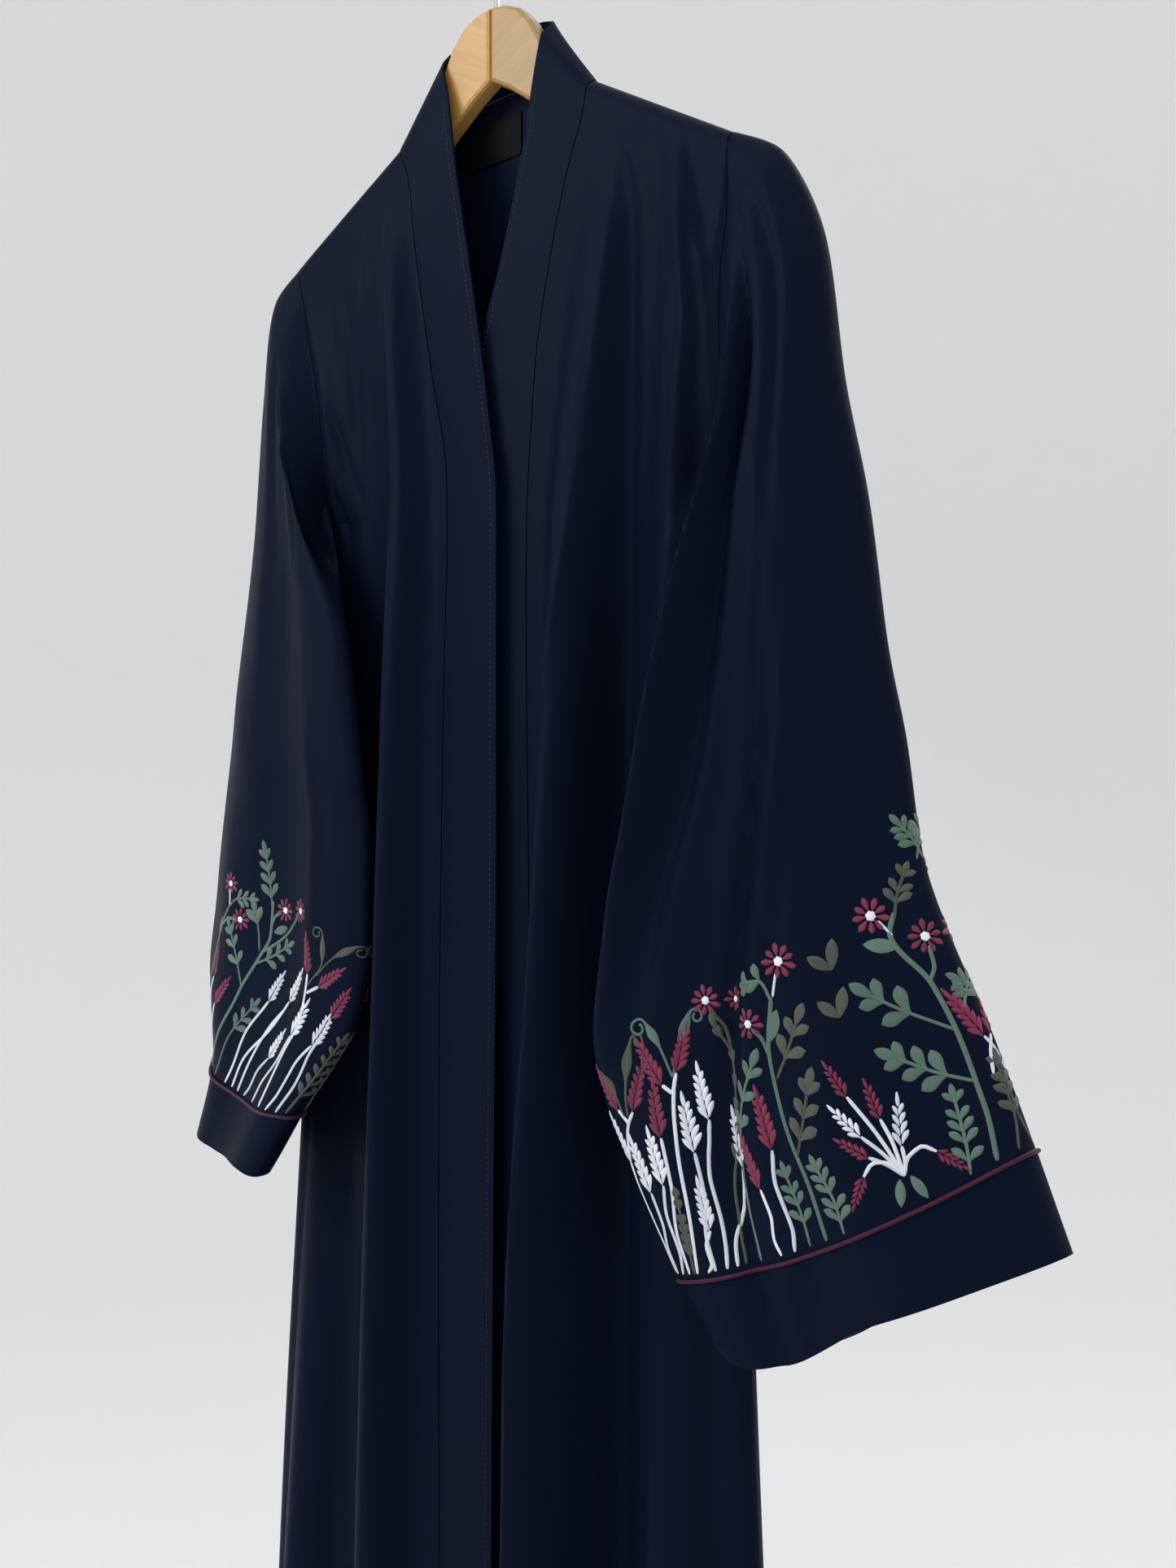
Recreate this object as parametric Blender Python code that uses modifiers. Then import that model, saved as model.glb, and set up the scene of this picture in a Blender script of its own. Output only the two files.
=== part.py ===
"""Open-front abaya cloak with bell sleeves, hanging on a plain wooden coat hanger.

The garment faces -Y and hangs below the hanger's hook. The frame's origin is the highest point of the
hook's inner side, where the hook rests on a peg or a rail. Every cloth piece is a thin wall on a surface
that is worked out from short tables of sections and folds, in metres.
"""

import math
from typing import NamedTuple

import bmesh
import bpy
import numpy as np

# Cloth and seams
CLOTH_THICKNESS = 0.0010
SEAM_GAP = 0.0003
RIDGE_GAP = 0.0004
SIDE_SEAM_GAP = 0.0008
UNDERARM_GAP = 0.0022
UNDERARM_PINCH = 0.0018
SLEEVE_HEAD_GAP = 0.0005
SHOULDER_ROUND = 0.0085
ROUND_BLEND = 0.060
SIDE_TURN = 0.016
SIDE_TURN_RUN = 0.050
ARMHOLE_MARGIN = 0.006
FRONT_SETTLE = 0.080
BACK_SETTLE = 0.100
BAND_REST_SHARE = 0.71
BAND_FLAT_SHARE = 0.25
FRONT_HELD_FROM = 0.75
BACK_HELD_FROM = 0.80

# Heights below the hook
NECK_POINT_Z = -0.131
SHOULDER_END_Z = -0.186
UNDERARM_Z = -0.365
HEM_Z = -1.500
NECK_BACK_Z = -0.112

# Back neckline
NECK_HALF_WIDTH = 0.080
NECK_BACK_Y = 0.014
NECK_SQUARENESS = 8

# Armhole, an oval seen from the side
ARMHOLE_FRONT_DEPTH = 0.011
ARMHOLE_BACK_DEPTH = 0.010
ARMHOLE_POINT = 0.75
UNDERARM_Y = 0.000

# Back panel and front surface near the sides
BACK_Y = 0.014
BACK_HALF_WIDTH = 0.175

# Standing band round the back of the neck
COLLAR_BACK = (0.0, 0.013, -0.074)

# Mesh counts
ARM_ROWS = 14
BODY_ROWS = 14
BODY_ROW_POWER = 1.3
FRONT_COLUMNS = 13
SHOULDER_COLUMNS = 5
NECK_COLUMNS = 10
SIDE_COLUMNS = 3
BAND_COLUMNS = 3
SLEEVE_RINGS = 17
CUFF_RINGS = 2
LABEL_ROWS = 4
LABEL_POINTS = 5

# Sleeves, piping and label
SLEEVE_ROUNDNESS = 0.8
PIPING_RADIUS = 0.0013
LABEL_WIDTH = 0.046
LABEL_HEIGHT = 0.026
LABEL_THICKNESS = 0.0008
LABEL_TOP_DROP = 0.014
LABEL_CENTRE_X = -0.014
LABEL_TILT = 0.06

# Hanger
WOOD_THICKNESS = 0.0125
WOOD_ROUND = 0.0025
HOOK_WIRE = 0.0034
HOOK_INNER_RADIUS = 0.0170
HOOK_START_DEGREES = -40
HOOK_END_DEGREES = 205
HOOK_POINTS = 22
BORE_VERTICES = 16

# Shading and welding
CREASE_DEGREES = 40
WELD_DISTANCE = 1e-5


class FrontSection(NamedTuple):
    """One level of a front panel, where its seam with the band lies."""

    z: float
    seam_x: float
    seam_y: float


class SideSection(NamedTuple):
    """One level of the garment's edge, armhole above and side seam below, and the front beside it."""

    z: float
    x: float
    front_y: float


class BandSection(NamedTuple):
    """The band's free edge, listed by the height of the seam point that it stands across from."""

    seam_z: float
    x: float
    y: float
    z: float


class Fold(NamedTuple):
    """One level of a soft fold: its crest, its rise and how far it reaches to each side."""

    z: float
    x: float
    rise: float
    inner: float
    outer: float


class SleeveSection(NamedTuple):
    """One ring of a sleeve: its outer and inner ends, its depths and how far its middle sags."""

    outer_x: float
    outer_y: float
    outer_z: float
    inner_x: float
    inner_y: float
    inner_z: float
    front: float
    back: float
    sag: float


class SleeveFold(NamedTuple):
    """A fold along a sleeve: at each station, its place across (1 outer, -1 inner) and its rise."""

    station: float
    across: float
    rise: float
    width: float


FRONT_SEAMS = {
    "left": (
        FrontSection(-0.131, -0.0800, -0.0040),
        FrontSection(-0.150, -0.0700, -0.0090),
        FrontSection(-0.208, -0.0570, -0.0130),
        FrontSection(-0.277, -0.0416, -0.0160),
        FrontSection(-0.353, -0.0250, -0.0180),
        FrontSection(-0.404, -0.0230, -0.0200),
        FrontSection(-0.477, -0.0235, -0.0220),
        FrontSection(-0.645, -0.0230, -0.0260),
        FrontSection(-0.829, -0.0200, -0.0300),
        FrontSection(-1.008, -0.0155, -0.0340),
        FrontSection(-1.500, -0.0110, -0.0370),
    ),
    "right": (
        FrontSection(-0.131, 0.0800, -0.0040),
        FrontSection(-0.150, 0.0770, -0.0090),
        FrontSection(-0.177, 0.0680, -0.0100),
        FrontSection(-0.225, 0.0560, -0.0115),
        FrontSection(-0.294, 0.0440, -0.0130),
        FrontSection(-0.393, 0.0395, -0.0155),
        FrontSection(-0.474, 0.0410, -0.0170),
        FrontSection(-0.650, 0.0450, -0.0195),
        FrontSection(-0.850, 0.0450, -0.0215),
        FrontSection(-1.050, 0.0440, -0.0230),
        FrontSection(-1.500, 0.0420, -0.0250),
    ),
}

EDGES = {
    "left": (
        SideSection(-0.186, -0.176, -0.009),
        SideSection(-0.232, -0.166, -0.008),
        SideSection(-0.263, -0.157, -0.006),
        SideSection(-0.300, -0.151, -0.004),
        SideSection(-0.365, -0.150, -0.003),
        SideSection(-0.410, -0.157, -0.003),
        SideSection(-0.480, -0.166, -0.003),
        SideSection(-0.600, -0.173, -0.004),
        SideSection(-0.765, -0.180, -0.005),
        SideSection(-1.080, -0.200, -0.009),
        SideSection(-1.500, -0.236, -0.010),
    ),
    "right": (
        SideSection(-0.186, 0.178, -0.009),
        SideSection(-0.232, 0.178, -0.009),
        SideSection(-0.263, 0.175, -0.009),
        SideSection(-0.300, 0.174, -0.009),
        SideSection(-0.365, 0.174, -0.008),
        SideSection(-0.600, 0.178, -0.008),
        SideSection(-0.853, 0.188, -0.009),
        SideSection(-1.080, 0.199, -0.010),
        SideSection(-1.500, 0.226, -0.010),
    ),
}

BAND_EDGES = {
    "left": (
        BandSection(-0.131, -0.0395, 0.0000, -0.081),
        BandSection(-0.135, -0.0370, -0.0090, -0.091),
        BandSection(-0.147, -0.0300, -0.0125, -0.110),
        BandSection(-0.177, -0.0170, -0.0180, -0.163),
        BandSection(-0.240, -0.0020, -0.0210, -0.227),
        BandSection(-0.330, 0.0162, -0.0230, -0.323),
        BandSection(-0.372, 0.0235, -0.0250, -0.369),
        BandSection(-0.440, 0.0250, -0.0265, -0.440),
        BandSection(-0.645, 0.0278, -0.0300, -0.645),
        BandSection(-1.008, 0.0285, -0.0345, -1.008),
        BandSection(-1.500, 0.0330, -0.0370, -1.500),
    ),
    "right": (
        BandSection(-0.131, 0.0445, 0.0000, -0.087),
        BandSection(-0.135, 0.0440, -0.0085, -0.096),
        BandSection(-0.150, 0.0400, -0.0115, -0.125),
        BandSection(-0.177, 0.0345, -0.0125, -0.157),
        BandSection(-0.220, 0.0180, -0.0140, -0.222),
        BandSection(-0.294, -0.0020, -0.0160, -0.290),
        BandSection(-0.393, -0.0085, -0.0180, -0.392),
        BandSection(-0.650, -0.0030, -0.0215, -0.650),
        BandSection(-1.050, -0.0040, -0.0250, -1.050),
        BandSection(-1.500, -0.0060, -0.0270, -1.500),
    ),
}

FRONT_FOLDS = {
    "left": (
        (
            Fold(-0.160, -0.071, 0.004, 0.020, 0.024),
            Fold(-0.214, -0.069, 0.010, 0.022, 0.026),
            Fold(-0.303, -0.065, 0.014, 0.028, 0.028),
            Fold(-0.406, -0.058, 0.018, 0.034, 0.030),
            Fold(-0.645, -0.057, 0.024, 0.034, 0.032),
            Fold(-0.832, -0.060, 0.028, 0.040, 0.034),
            Fold(-1.014, -0.061, 0.031, 0.044, 0.036),
            Fold(-1.500, -0.064, 0.040, 0.050, 0.042),
        ),
        (
            Fold(-0.700, -0.150, 0.000, 0.040, 0.030),
            Fold(-0.850, -0.152, 0.010, 0.044, 0.034),
            Fold(-1.080, -0.156, 0.026, 0.050, 0.038),
            Fold(-1.500, -0.172, 0.042, 0.060, 0.048),
        ),
    ),
    "right": (
        (
            Fold(-0.200, 0.095, 0.000, 0.020, 0.024),
            Fold(-0.278, 0.086, 0.010, 0.026, 0.026),
            Fold(-0.389, 0.078, 0.019, 0.028, 0.030),
            Fold(-0.510, 0.080, 0.031, 0.028, 0.032),
            Fold(-0.624, 0.080, 0.041, 0.028, 0.034),
            Fold(-0.804, 0.074, 0.053, 0.028, 0.036),
            Fold(-0.974, 0.066, 0.061, 0.028, 0.040),
            Fold(-1.500, 0.064, 0.072, 0.030, 0.044),
        ),
        (
            Fold(-0.186, 0.140, 0.004, 0.020, 0.020),
            Fold(-0.268, 0.152, 0.008, 0.026, 0.024),
            Fold(-0.379, 0.148, 0.010, 0.030, 0.024),
            Fold(-0.510, 0.136, 0.010, 0.030, 0.030),
            Fold(-0.800, 0.140, 0.012, 0.034, 0.034),
            Fold(-1.050, 0.150, 0.030, 0.038, 0.036),
            Fold(-1.500, 0.166, 0.048, 0.046, 0.044),
        ),
    ),
}

BACK_FOLDS = (
    (
        Fold(-0.200, -0.130, 0.000, 0.030, 0.030),
        Fold(-0.600, -0.112, 0.008, 0.036, 0.034),
        Fold(-1.500, -0.150, 0.034, 0.050, 0.050),
    ),
    (
        Fold(-0.240, -0.030, 0.000, 0.034, 0.034),
        Fold(-0.700, -0.044, 0.012, 0.038, 0.040),
        Fold(-1.500, -0.052, 0.036, 0.046, 0.044),
    ),
    (
        Fold(-0.300, 0.040, 0.000, 0.034, 0.034),
        Fold(-0.640, 0.046, 0.009, 0.040, 0.036),
        Fold(-1.500, 0.050, 0.030, 0.044, 0.046),
    ),
    (
        Fold(-0.200, 0.125, 0.002, 0.030, 0.028),
        Fold(-0.720, 0.126, 0.012, 0.034, 0.034),
        Fold(-1.500, 0.146, 0.038, 0.048, 0.048),
    ),
)

SLEEVES = {
    "left": (
        SleeveSection(-0.201, 0.000, -0.202, -0.153, -0.014, -0.382, 0.018, 0.016, 0.000),
        SleeveSection(-0.217, 0.002, -0.265, -0.127, -0.028, -0.408, 0.018, 0.012, 0.000),
        SleeveSection(-0.227, 0.003, -0.350, -0.107, -0.035, -0.438, 0.018, 0.008, 0.002),
        SleeveSection(-0.244, 0.004, -0.438, -0.089, -0.036, -0.490, 0.019, 0.008, 0.005),
        SleeveSection(-0.253, 0.004, -0.490, -0.080, -0.037, -0.540, 0.020, 0.008, 0.006),
        SleeveSection(-0.261, 0.004, -0.537, -0.073, -0.037, -0.583, 0.020, 0.008, 0.008),
        SleeveSection(-0.272, 0.003, -0.608, -0.074, -0.037, -0.645, 0.020, 0.009, 0.009),
        SleeveSection(-0.276, 0.000, -0.660, -0.084, -0.039, -0.688, 0.020, 0.012, 0.009),
        SleeveSection(-0.272, -0.002, -0.690, -0.100, -0.044, -0.714, 0.020, 0.015, 0.008),
        SleeveSection(-0.261, -0.004, -0.728, -0.124, -0.055, -0.750, 0.020, 0.020, 0.008),
        SleeveSection(-0.272, -0.007, -0.776, -0.152, -0.060, -0.790, 0.018, 0.020, 0.003),
    ),
    "right": (
        SleeveSection(0.205, 0.000, -0.200, 0.177, -0.012, -0.386, 0.018, 0.014, 0.000),
        SleeveSection(0.2325, 0.002, -0.253, 0.175, -0.030, -0.412, 0.020, 0.012, 0.000),
        SleeveSection(0.242, 0.004, -0.323, 0.167, -0.044, -0.456, 0.022, 0.012, 0.002),
        SleeveSection(0.257, 0.004, -0.392, 0.154, -0.048, -0.510, 0.022, 0.012, 0.005),
        SleeveSection(0.268, 0.004, -0.467, 0.143, -0.050, -0.567, 0.023, 0.012, 0.007),
        SleeveSection(0.278, 0.004, -0.513, 0.133, -0.052, -0.615, 0.024, 0.012, 0.009),
        SleeveSection(0.289, 0.002, -0.574, 0.125, -0.052, -0.672, 0.025, 0.013, 0.011),
        SleeveSection(0.305, 0.000, -0.614, 0.128, -0.047, -0.705, 0.026, 0.016, 0.012),
        SleeveSection(0.324, 0.000, -0.653, 0.142, -0.041, -0.742, 0.027, 0.020, 0.013),
        SleeveSection(0.349, 0.000, -0.714, 0.168, -0.032, -0.801, 0.028, 0.026, 0.011),
        SleeveSection(0.367, 0.000, -0.760, 0.191, -0.034, -0.838, 0.028, 0.028, 0.003),
    ),
}

SLEEVE_FOLDS = {
    "left": (
        (
            SleeveFold(1.2, 0.05, 0.000, 0.50),
            SleeveFold(3.0, 0.00, -0.006, 0.50),
            SleeveFold(6.0, -0.10, -0.008, 0.50),
            SleeveFold(8.5, -0.20, -0.005, 0.50),
            SleeveFold(11.0, -0.20, -0.003, 0.50),
        ),
        (
            SleeveFold(3.0, 0.62, 0.000, 0.40),
            SleeveFold(7.0, 0.55, 0.005, 0.42),
            SleeveFold(11.0, 0.50, 0.006, 0.42),
        ),
    ),
    "right": (
        (
            SleeveFold(1.2, 0.05, 0.000, 0.50),
            SleeveFold(2.5, -0.05, -0.007, 0.50),
            SleeveFold(4.0, -0.15, -0.008, 0.50),
            SleeveFold(7.0, -0.22, -0.009, 0.46),
            SleeveFold(10.0, -0.32, -0.007, 0.44),
            SleeveFold(11.0, -0.35, -0.005, 0.42),
        ),
        (
            SleeveFold(3.0, 0.60, 0.000, 0.40),
            SleeveFold(6.0, 0.48, 0.006, 0.42),
            SleeveFold(9.0, 0.38, 0.009, 0.45),
            SleeveFold(11.0, 0.32, 0.008, 0.45),
        ),
    ),
}

# Half of the hanger's outline, from the joint at the top round to the joint at the bottom
ARM_OUTLINE = (
    (0.0000, -0.0650),
    (0.0120, -0.0665),
    (0.0230, -0.0715),
    (0.0320, -0.0810),
    (0.0430, -0.0985),
    (0.0590, -0.1200),
    (0.0810, -0.1365),
    (0.1300, -0.1645),
    (0.1750, -0.1905),
    (0.1870, -0.1985),
    (0.1940, -0.2060),
    (0.1940, -0.2150),
    (0.1870, -0.2205),
    (0.1720, -0.2150),
    (0.1200, -0.1860),
    (0.0600, -0.1515),
    (0.0355, -0.1330),
    (0.0150, -0.1185),
    (0.0000, -0.1100),
)

HOOK_ROUTE = (
    (0.0000, -0.0780),
    (0.0000, -0.0640),
    (0.0000, -0.0500),
    (0.0015, -0.0430),
    (0.0070, -0.0365),
)


def glide(knots, values, at):
    """Returns a smooth curve through the values that never overshoots them, read at the given places."""
    knots = np.asarray(knots, float)
    values = np.asarray(values, float)
    steps = np.diff(knots)
    slopes = np.diff(values) / steps
    tangents = np.zeros_like(values)
    tangents[0] = slopes[0]
    tangents[-1] = slopes[-1]
    for i in range(1, len(values) - 1):
        if slopes[i - 1] * slopes[i] > 0:
            before = 2 * steps[i] + steps[i - 1]
            after = steps[i] + 2 * steps[i - 1]
            tangents[i] = (before + after) / (before / slopes[i - 1] + after / slopes[i])
    at = np.clip(np.asarray(at, float), knots[0], knots[-1])
    i = np.clip(np.searchsorted(knots, at, side="right") - 1, 0, len(steps) - 1)
    t = (at - knots[i]) / steps[i]
    start = (1 + 2 * t) * (1 - t) ** 2 * values[i] + t * (1 - t) ** 2 * steps[i] * tangents[i]
    end = t**2 * (3 - 2 * t) * values[i + 1] + t**2 * (t - 1) * steps[i] * tangents[i + 1]
    return start + end


def by_height(table, column, z):
    """Reads one column of a table of sections at the height z. The first column is the height."""
    return glide([-row[0] for row in table], [getattr(row, column) for row in table], -np.asarray(z))


def smooth_step(t):
    """Returns 0 below 0, 1 above 1 and a soft ramp between."""
    t = np.clip(t, 0.0, 1.0)
    return t * t * (3 - 2 * t)


def fold_rise(folds, x, z):
    """Returns how far the folds lift a panel at (x, z)."""
    total = np.zeros_like(np.asarray(x, float) + np.asarray(z, float))
    for fold in folds:
        crest = by_height(fold, "x", z)
        away = x - crest
        outward = np.sign(crest) * away > 0
        reach = np.where(outward, by_height(fold, "outer", z), by_height(fold, "inner", z))
        begun = smooth_step((fold[0].z - z) / ROUND_BLEND + 1)
        bump = 0.5 + 0.5 * np.cos(math.pi * np.clip(away / reach, -1, 1))
        total = total + by_height(fold, "rise", z) * bump * begun
    return total


def row_fractions():
    """Returns how far down the armhole each row lies, closer together at both ends."""
    return (1 - np.cos(np.linspace(0, math.pi, ARM_ROWS + 1))) / 2


def row_heights(top_z):
    """Returns the height of every row of a column that starts at top_z."""
    arm = top_z + (UNDERARM_Z - top_z) * row_fractions()
    down = np.linspace(0, 1, BODY_ROWS + 1)[1:] ** BODY_ROW_POWER
    body = UNDERARM_Z + (HEM_Z - UNDERARM_Z) * down
    return np.concatenate([arm, body])


def over_shoulder(drop):
    """Returns how far the cloth has come forward at this drop below the shoulder ridge."""
    return SHOULDER_ROUND * np.sqrt(1 - (1 - np.clip(drop / SHOULDER_ROUND, 0, 1)) ** 2)


def shoulder_point(side, t):
    """Returns (x, z) on the shoulder seam, t running from the neck point to the armhole."""
    sign = 1 if side == "right" else -1
    end_x = by_height(EDGES[side], "x", SHOULDER_END_Z)
    x = sign * NECK_HALF_WIDTH + (end_x - sign * NECK_HALF_WIDTH) * t
    return x, NECK_POINT_Z + (SHOULDER_END_Z - NECK_POINT_Z) * t


def edge_curve(side, z, facing):
    """Returns (x, y) of the armhole and side seam at the heights z. facing is -1 in front, 1 behind."""
    x = by_height(EDGES[side], "x", z)
    centre = (SHOULDER_END_Z + UNDERARM_Z) / 2
    half = (SHOULDER_END_Z - UNDERARM_Z) / 2
    round_about = np.clip(1 - ((z - centre) / half) ** 2, 0, 1) ** ARMHOLE_POINT
    depth = ARMHOLE_FRONT_DEPTH if facing < 0 else ARMHOLE_BACK_DEPTH
    along = smooth_step((SHOULDER_END_Z - z) / (SHOULDER_END_Z - UNDERARM_Z))
    near_ridge = np.where(z > centre, over_shoulder(SHOULDER_END_Z - z), 0)
    open_by = np.maximum(depth * np.where(z > UNDERARM_Z, round_about, 0), near_ridge)
    return x, UNDERARM_Y * along + facing * open_by


def side_turn(z):
    """Returns how far the cloth turns round the side: not at all at the armhole, fully below it."""
    return smooth_step((UNDERARM_Z - z) / SIDE_TURN_RUN)


def side_margin(z):
    """Returns the width of the strip that the side's last columns cross."""
    return ARMHOLE_MARGIN + (SIDE_TURN - ARMHOLE_MARGIN) * side_turn(z)


def side_columns(last, edge_x, edge_y, facing):
    """Returns the columns from the last one to the edge: straight at the armhole, rounded below it."""
    z = last[:, 2]
    turn = side_turn(z)
    gap = facing * (UNDERARM_GAP + (SIDE_SEAM_GAP - UNDERARM_GAP) * turn) / 2
    columns = []
    for step in range(1, SIDE_COLUMNS + 1):
        straight = step / SIDE_COLUMNS
        angle = straight * math.pi / 2
        across = straight + (math.sin(angle) - straight) * turn
        back = straight + (1 - math.cos(angle) - straight) * turn
        x = last[:, 0] + (edge_x - last[:, 0]) * across
        y = last[:, 1] + (edge_y - last[:, 1]) * back
        columns.append(np.stack([x, y, z], axis=1))
    columns[-1][:, 1] += gap * (z <= UNDERARM_Z)
    return columns


def front_points(side):
    """Returns a front panel's points, a row for each level and a column from the band to the side."""
    sign = 1 if side == "right" else -1
    flat = np.linspace(0, 1, FRONT_COLUMNS + 1)
    rows = []
    for t in flat:
        top_x, top_z = shoulder_point(side, t)
        z = row_heights(top_z)
        drop = top_z - z
        seam_x = by_height(FRONT_SEAMS[side], "seam_x", z)
        seam_y = by_height(FRONT_SEAMS[side], "seam_y", z)
        edge_x, edge_y = edge_curve(side, z, -1)
        last_x = edge_x - sign * side_margin(z)
        x = seam_x + (last_x - seam_x) * t
        settle = 1 - smooth_step(drop / FRONT_SETTLE)
        x = x + (top_x - x[0]) * settle
        beside = by_height(EDGES[side], "front_y", z)
        surface = seam_y + (beside - seam_y) * smooth_step(t / BAND_REST_SHARE)
        surface = surface - fold_rise(FRONT_FOLDS[side], x, z) * smooth_step(t / BAND_FLAT_SHARE)
        held = smooth_step((t - FRONT_HELD_FROM) / (1 - FRONT_HELD_FROM)) * (1 - side_turn(z))
        surface = surface + (edge_y - UNDERARM_PINCH - surface) * held
        ramp = smooth_step(drop / ROUND_BLEND)
        y = surface * ramp - over_shoulder(drop) * (1 - ramp)
        y[0] = -RIDGE_GAP
        rows.append(np.stack([x, y, z], axis=1))
    last = rows[-1]
    edge_x, edge_y = edge_curve(side, last[:, 2], -1)
    turned = side_columns(last, edge_x, edge_y, -1)
    points = np.stack(rows + turned, axis=1)
    points[0, :, 1] = -RIDGE_GAP
    return points


def back_points():
    """Returns the back panel's points, columns from the left armhole over the neck to the right one."""
    shoulder = np.linspace(1, 0, SHOULDER_COLUMNS, endpoint=False)
    neck = np.linspace(-1, 1, NECK_COLUMNS + 1)
    places = [("left", t, None) for t in shoulder]
    places += [("left" if n < 0 else "right", 0.0, n) for n in neck]
    places += [("right", t, None) for t in shoulder[::-1]]
    share = NECK_HALF_WIDTH / BACK_HALF_WIDTH
    columns = []
    for side, t, n in places:
        sign = 1 if side == "right" else -1
        if n is None:
            top_x, top_z = shoulder_point(side, t)
            top_y = 0.0
            u = share + (1 - share) * t
        else:
            top_x = n * NECK_HALF_WIDTH
            dip = 1 - abs(n) ** NECK_SQUARENESS
            top_y = NECK_BACK_Y * dip
            top_z = NECK_POINT_Z + (NECK_BACK_Z - NECK_POINT_Z) * (1 - n * n)
            u = share * abs(n)
        z = row_heights(top_z)
        drop = top_z - z
        edge_x, edge_y = edge_curve(side, z, 1)
        x = (edge_x - sign * side_margin(z)) * u
        x = x + (top_x - x[0]) * (1 - smooth_step(drop / BACK_SETTLE))
        surface = BACK_Y + fold_rise(BACK_FOLDS, x, z)
        held = smooth_step((u - BACK_HELD_FROM) / (1 - BACK_HELD_FROM)) * (1 - side_turn(z))
        surface = surface + (edge_y + UNDERARM_PINCH - surface) * held
        ramp = smooth_step(drop / ROUND_BLEND)
        start = np.maximum(top_y, over_shoulder(drop))
        y = surface * ramp + start * (1 - ramp)
        y[0] = max(top_y, RIDGE_GAP)
        columns.append(np.stack([x, y, z], axis=1))
    sides = []
    for side, last in (("left", columns[0]), ("right", columns[-1])):
        edge_x, edge_y = edge_curve(side, last[:, 2], 1)
        sides.append(side_columns(last, edge_x, edge_y, 1))
    points = np.stack(sides[0][::-1] + columns + sides[1], axis=1)
    for column in points.transpose(1, 0, 2):
        column[0, 1] = max(column[0, 1], RIDGE_GAP)
    return points


def neckline_points(side, back):
    """Returns the points of the back neckline from this side's neck point to the middle."""
    first = SIDE_COLUMNS + SHOULDER_COLUMNS
    neckline = back[0, first : first + NECK_COLUMNS + 1]
    middle = NECK_COLUMNS // 2
    return neckline[: middle + 1] if side == "left" else neckline[middle:][::-1]


def band_points(side, front, back):
    """Returns a band's points, rows from the hem up the front and round to the middle of the neck."""
    sign = 1 if side == "right" else -1
    seam = front[:, 0][::-1]
    table = BAND_EDGES[side]
    free = [
        glide([-row.seam_z for row in table], [getattr(row, name) for row in table], -seam[:, 2])
        for name in ("x", "y", "z")
    ]
    free = np.stack(free, axis=1)
    neck = neckline_points(side, back)[1:]
    turn = np.linspace(0, math.pi / 2, len(neck) + 1)[1:]
    tip = free[-1]
    around = np.stack(
        [
            tip[0] * np.cos(turn),
            tip[1] + (COLLAR_BACK[1] - tip[1]) * np.sin(turn),
            tip[2] + (COLLAR_BACK[2] - tip[2]) * np.sin(turn),
        ],
        axis=1,
    )
    seam = np.concatenate([seam, neck])
    free = np.concatenate([free, around])
    across = free - seam
    width = np.linalg.norm(across, axis=1, keepdims=True)
    away = across / width
    seam = seam + away * 2 * SEAM_GAP
    seam[-1, 0] = free[-1, 0] = sign * SEAM_GAP / 2
    steps = np.linspace(0, 1, BAND_COLUMNS + 1)
    return np.stack([seam + (free - seam) * step for step in steps], axis=1)


def armhole_ring(side, front, back):
    """Returns the armhole's points, down the front edge and up the back edge."""
    forward = front[: ARM_ROWS + 1, -1]
    column = 0 if side == "left" else -1
    behind = back[: ARM_ROWS + 1, column]
    return np.concatenate([forward, behind[1:-1][::-1]])


def sleeve_rings(side, front, back, station):
    """Returns the sleeve's ring at each station. Station 0 is the armhole, the last one the cuff's edge."""
    sign = 1 if side == "right" else -1
    table = SLEEVES[side]
    ring = armhole_ring(side, front, back)
    count = len(ring)
    angle = np.linspace(0, 2 * math.pi, count, endpoint=False)
    across = np.cos(angle)
    forward = np.sin(angle)
    stations = np.arange(len(table) + 1)
    top = ring[0] + np.array([0, RIDGE_GAP, 0])
    under = ring[ARM_ROWS]
    first = SleeveSection(*top, *under, ARMHOLE_FRONT_DEPTH, ARMHOLE_BACK_DEPTH, 0.0)
    rows = (first,) + table

    def column(name, s):
        return glide(stations, [getattr(row, name) for row in rows], s)

    rings = []
    for s in station:
        outer = np.array([column(name, s) for name in ("outer_x", "outer_y", "outer_z")])
        inner = np.array([column(name, s) for name in ("inner_x", "inner_y", "inner_z")])
        middle = (outer + inner) / 2
        points = middle + np.outer(across, (outer - inner) / 2)
        depth = np.where(forward > 0, column("front", s), column("back", s))
        points[:, 1] -= depth * np.abs(forward) ** SLEEVE_ROUNDNESS * np.sign(forward)
        points[:, 2] -= column("sag", s) * (1 - across**2)
        for fold in SLEEVE_FOLDS[side]:
            knots = [row.station for row in fold]
            centre = glide(knots, [row.across for row in fold], s)
            rise = glide(knots, [row.rise for row in fold], s)
            width = glide(knots, [row.width for row in fold], s)
            bump = 0.5 + 0.5 * np.cos(math.pi * np.clip((across - centre) / width, -1, 1))
            points[:, 1] -= rise * bump * (forward > 0) * smooth_step((s - knots[0]) * 2)
        begun = smooth_step(s)
        start = ring.copy()
        start[:, 0] += sign * (SLEEVE_HEAD_GAP + CLOTH_THICKNESS / 2)
        points = start * (1 - begun) + points * begun if s < 1 else points
        rings.append(points)
    return np.stack(rings)


def solid_material(name, colour, roughness, metallic=0.0):
    """Returns a Principled material."""
    material = bpy.data.materials.new(name)
    material.use_nodes = True
    shader = material.node_tree.nodes["Principled BSDF"]
    shader.inputs["Base Color"].default_value = (*colour, 1.0)
    shader.inputs["Roughness"].default_value = roughness
    shader.inputs["Metallic"].default_value = metallic
    return material


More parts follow.
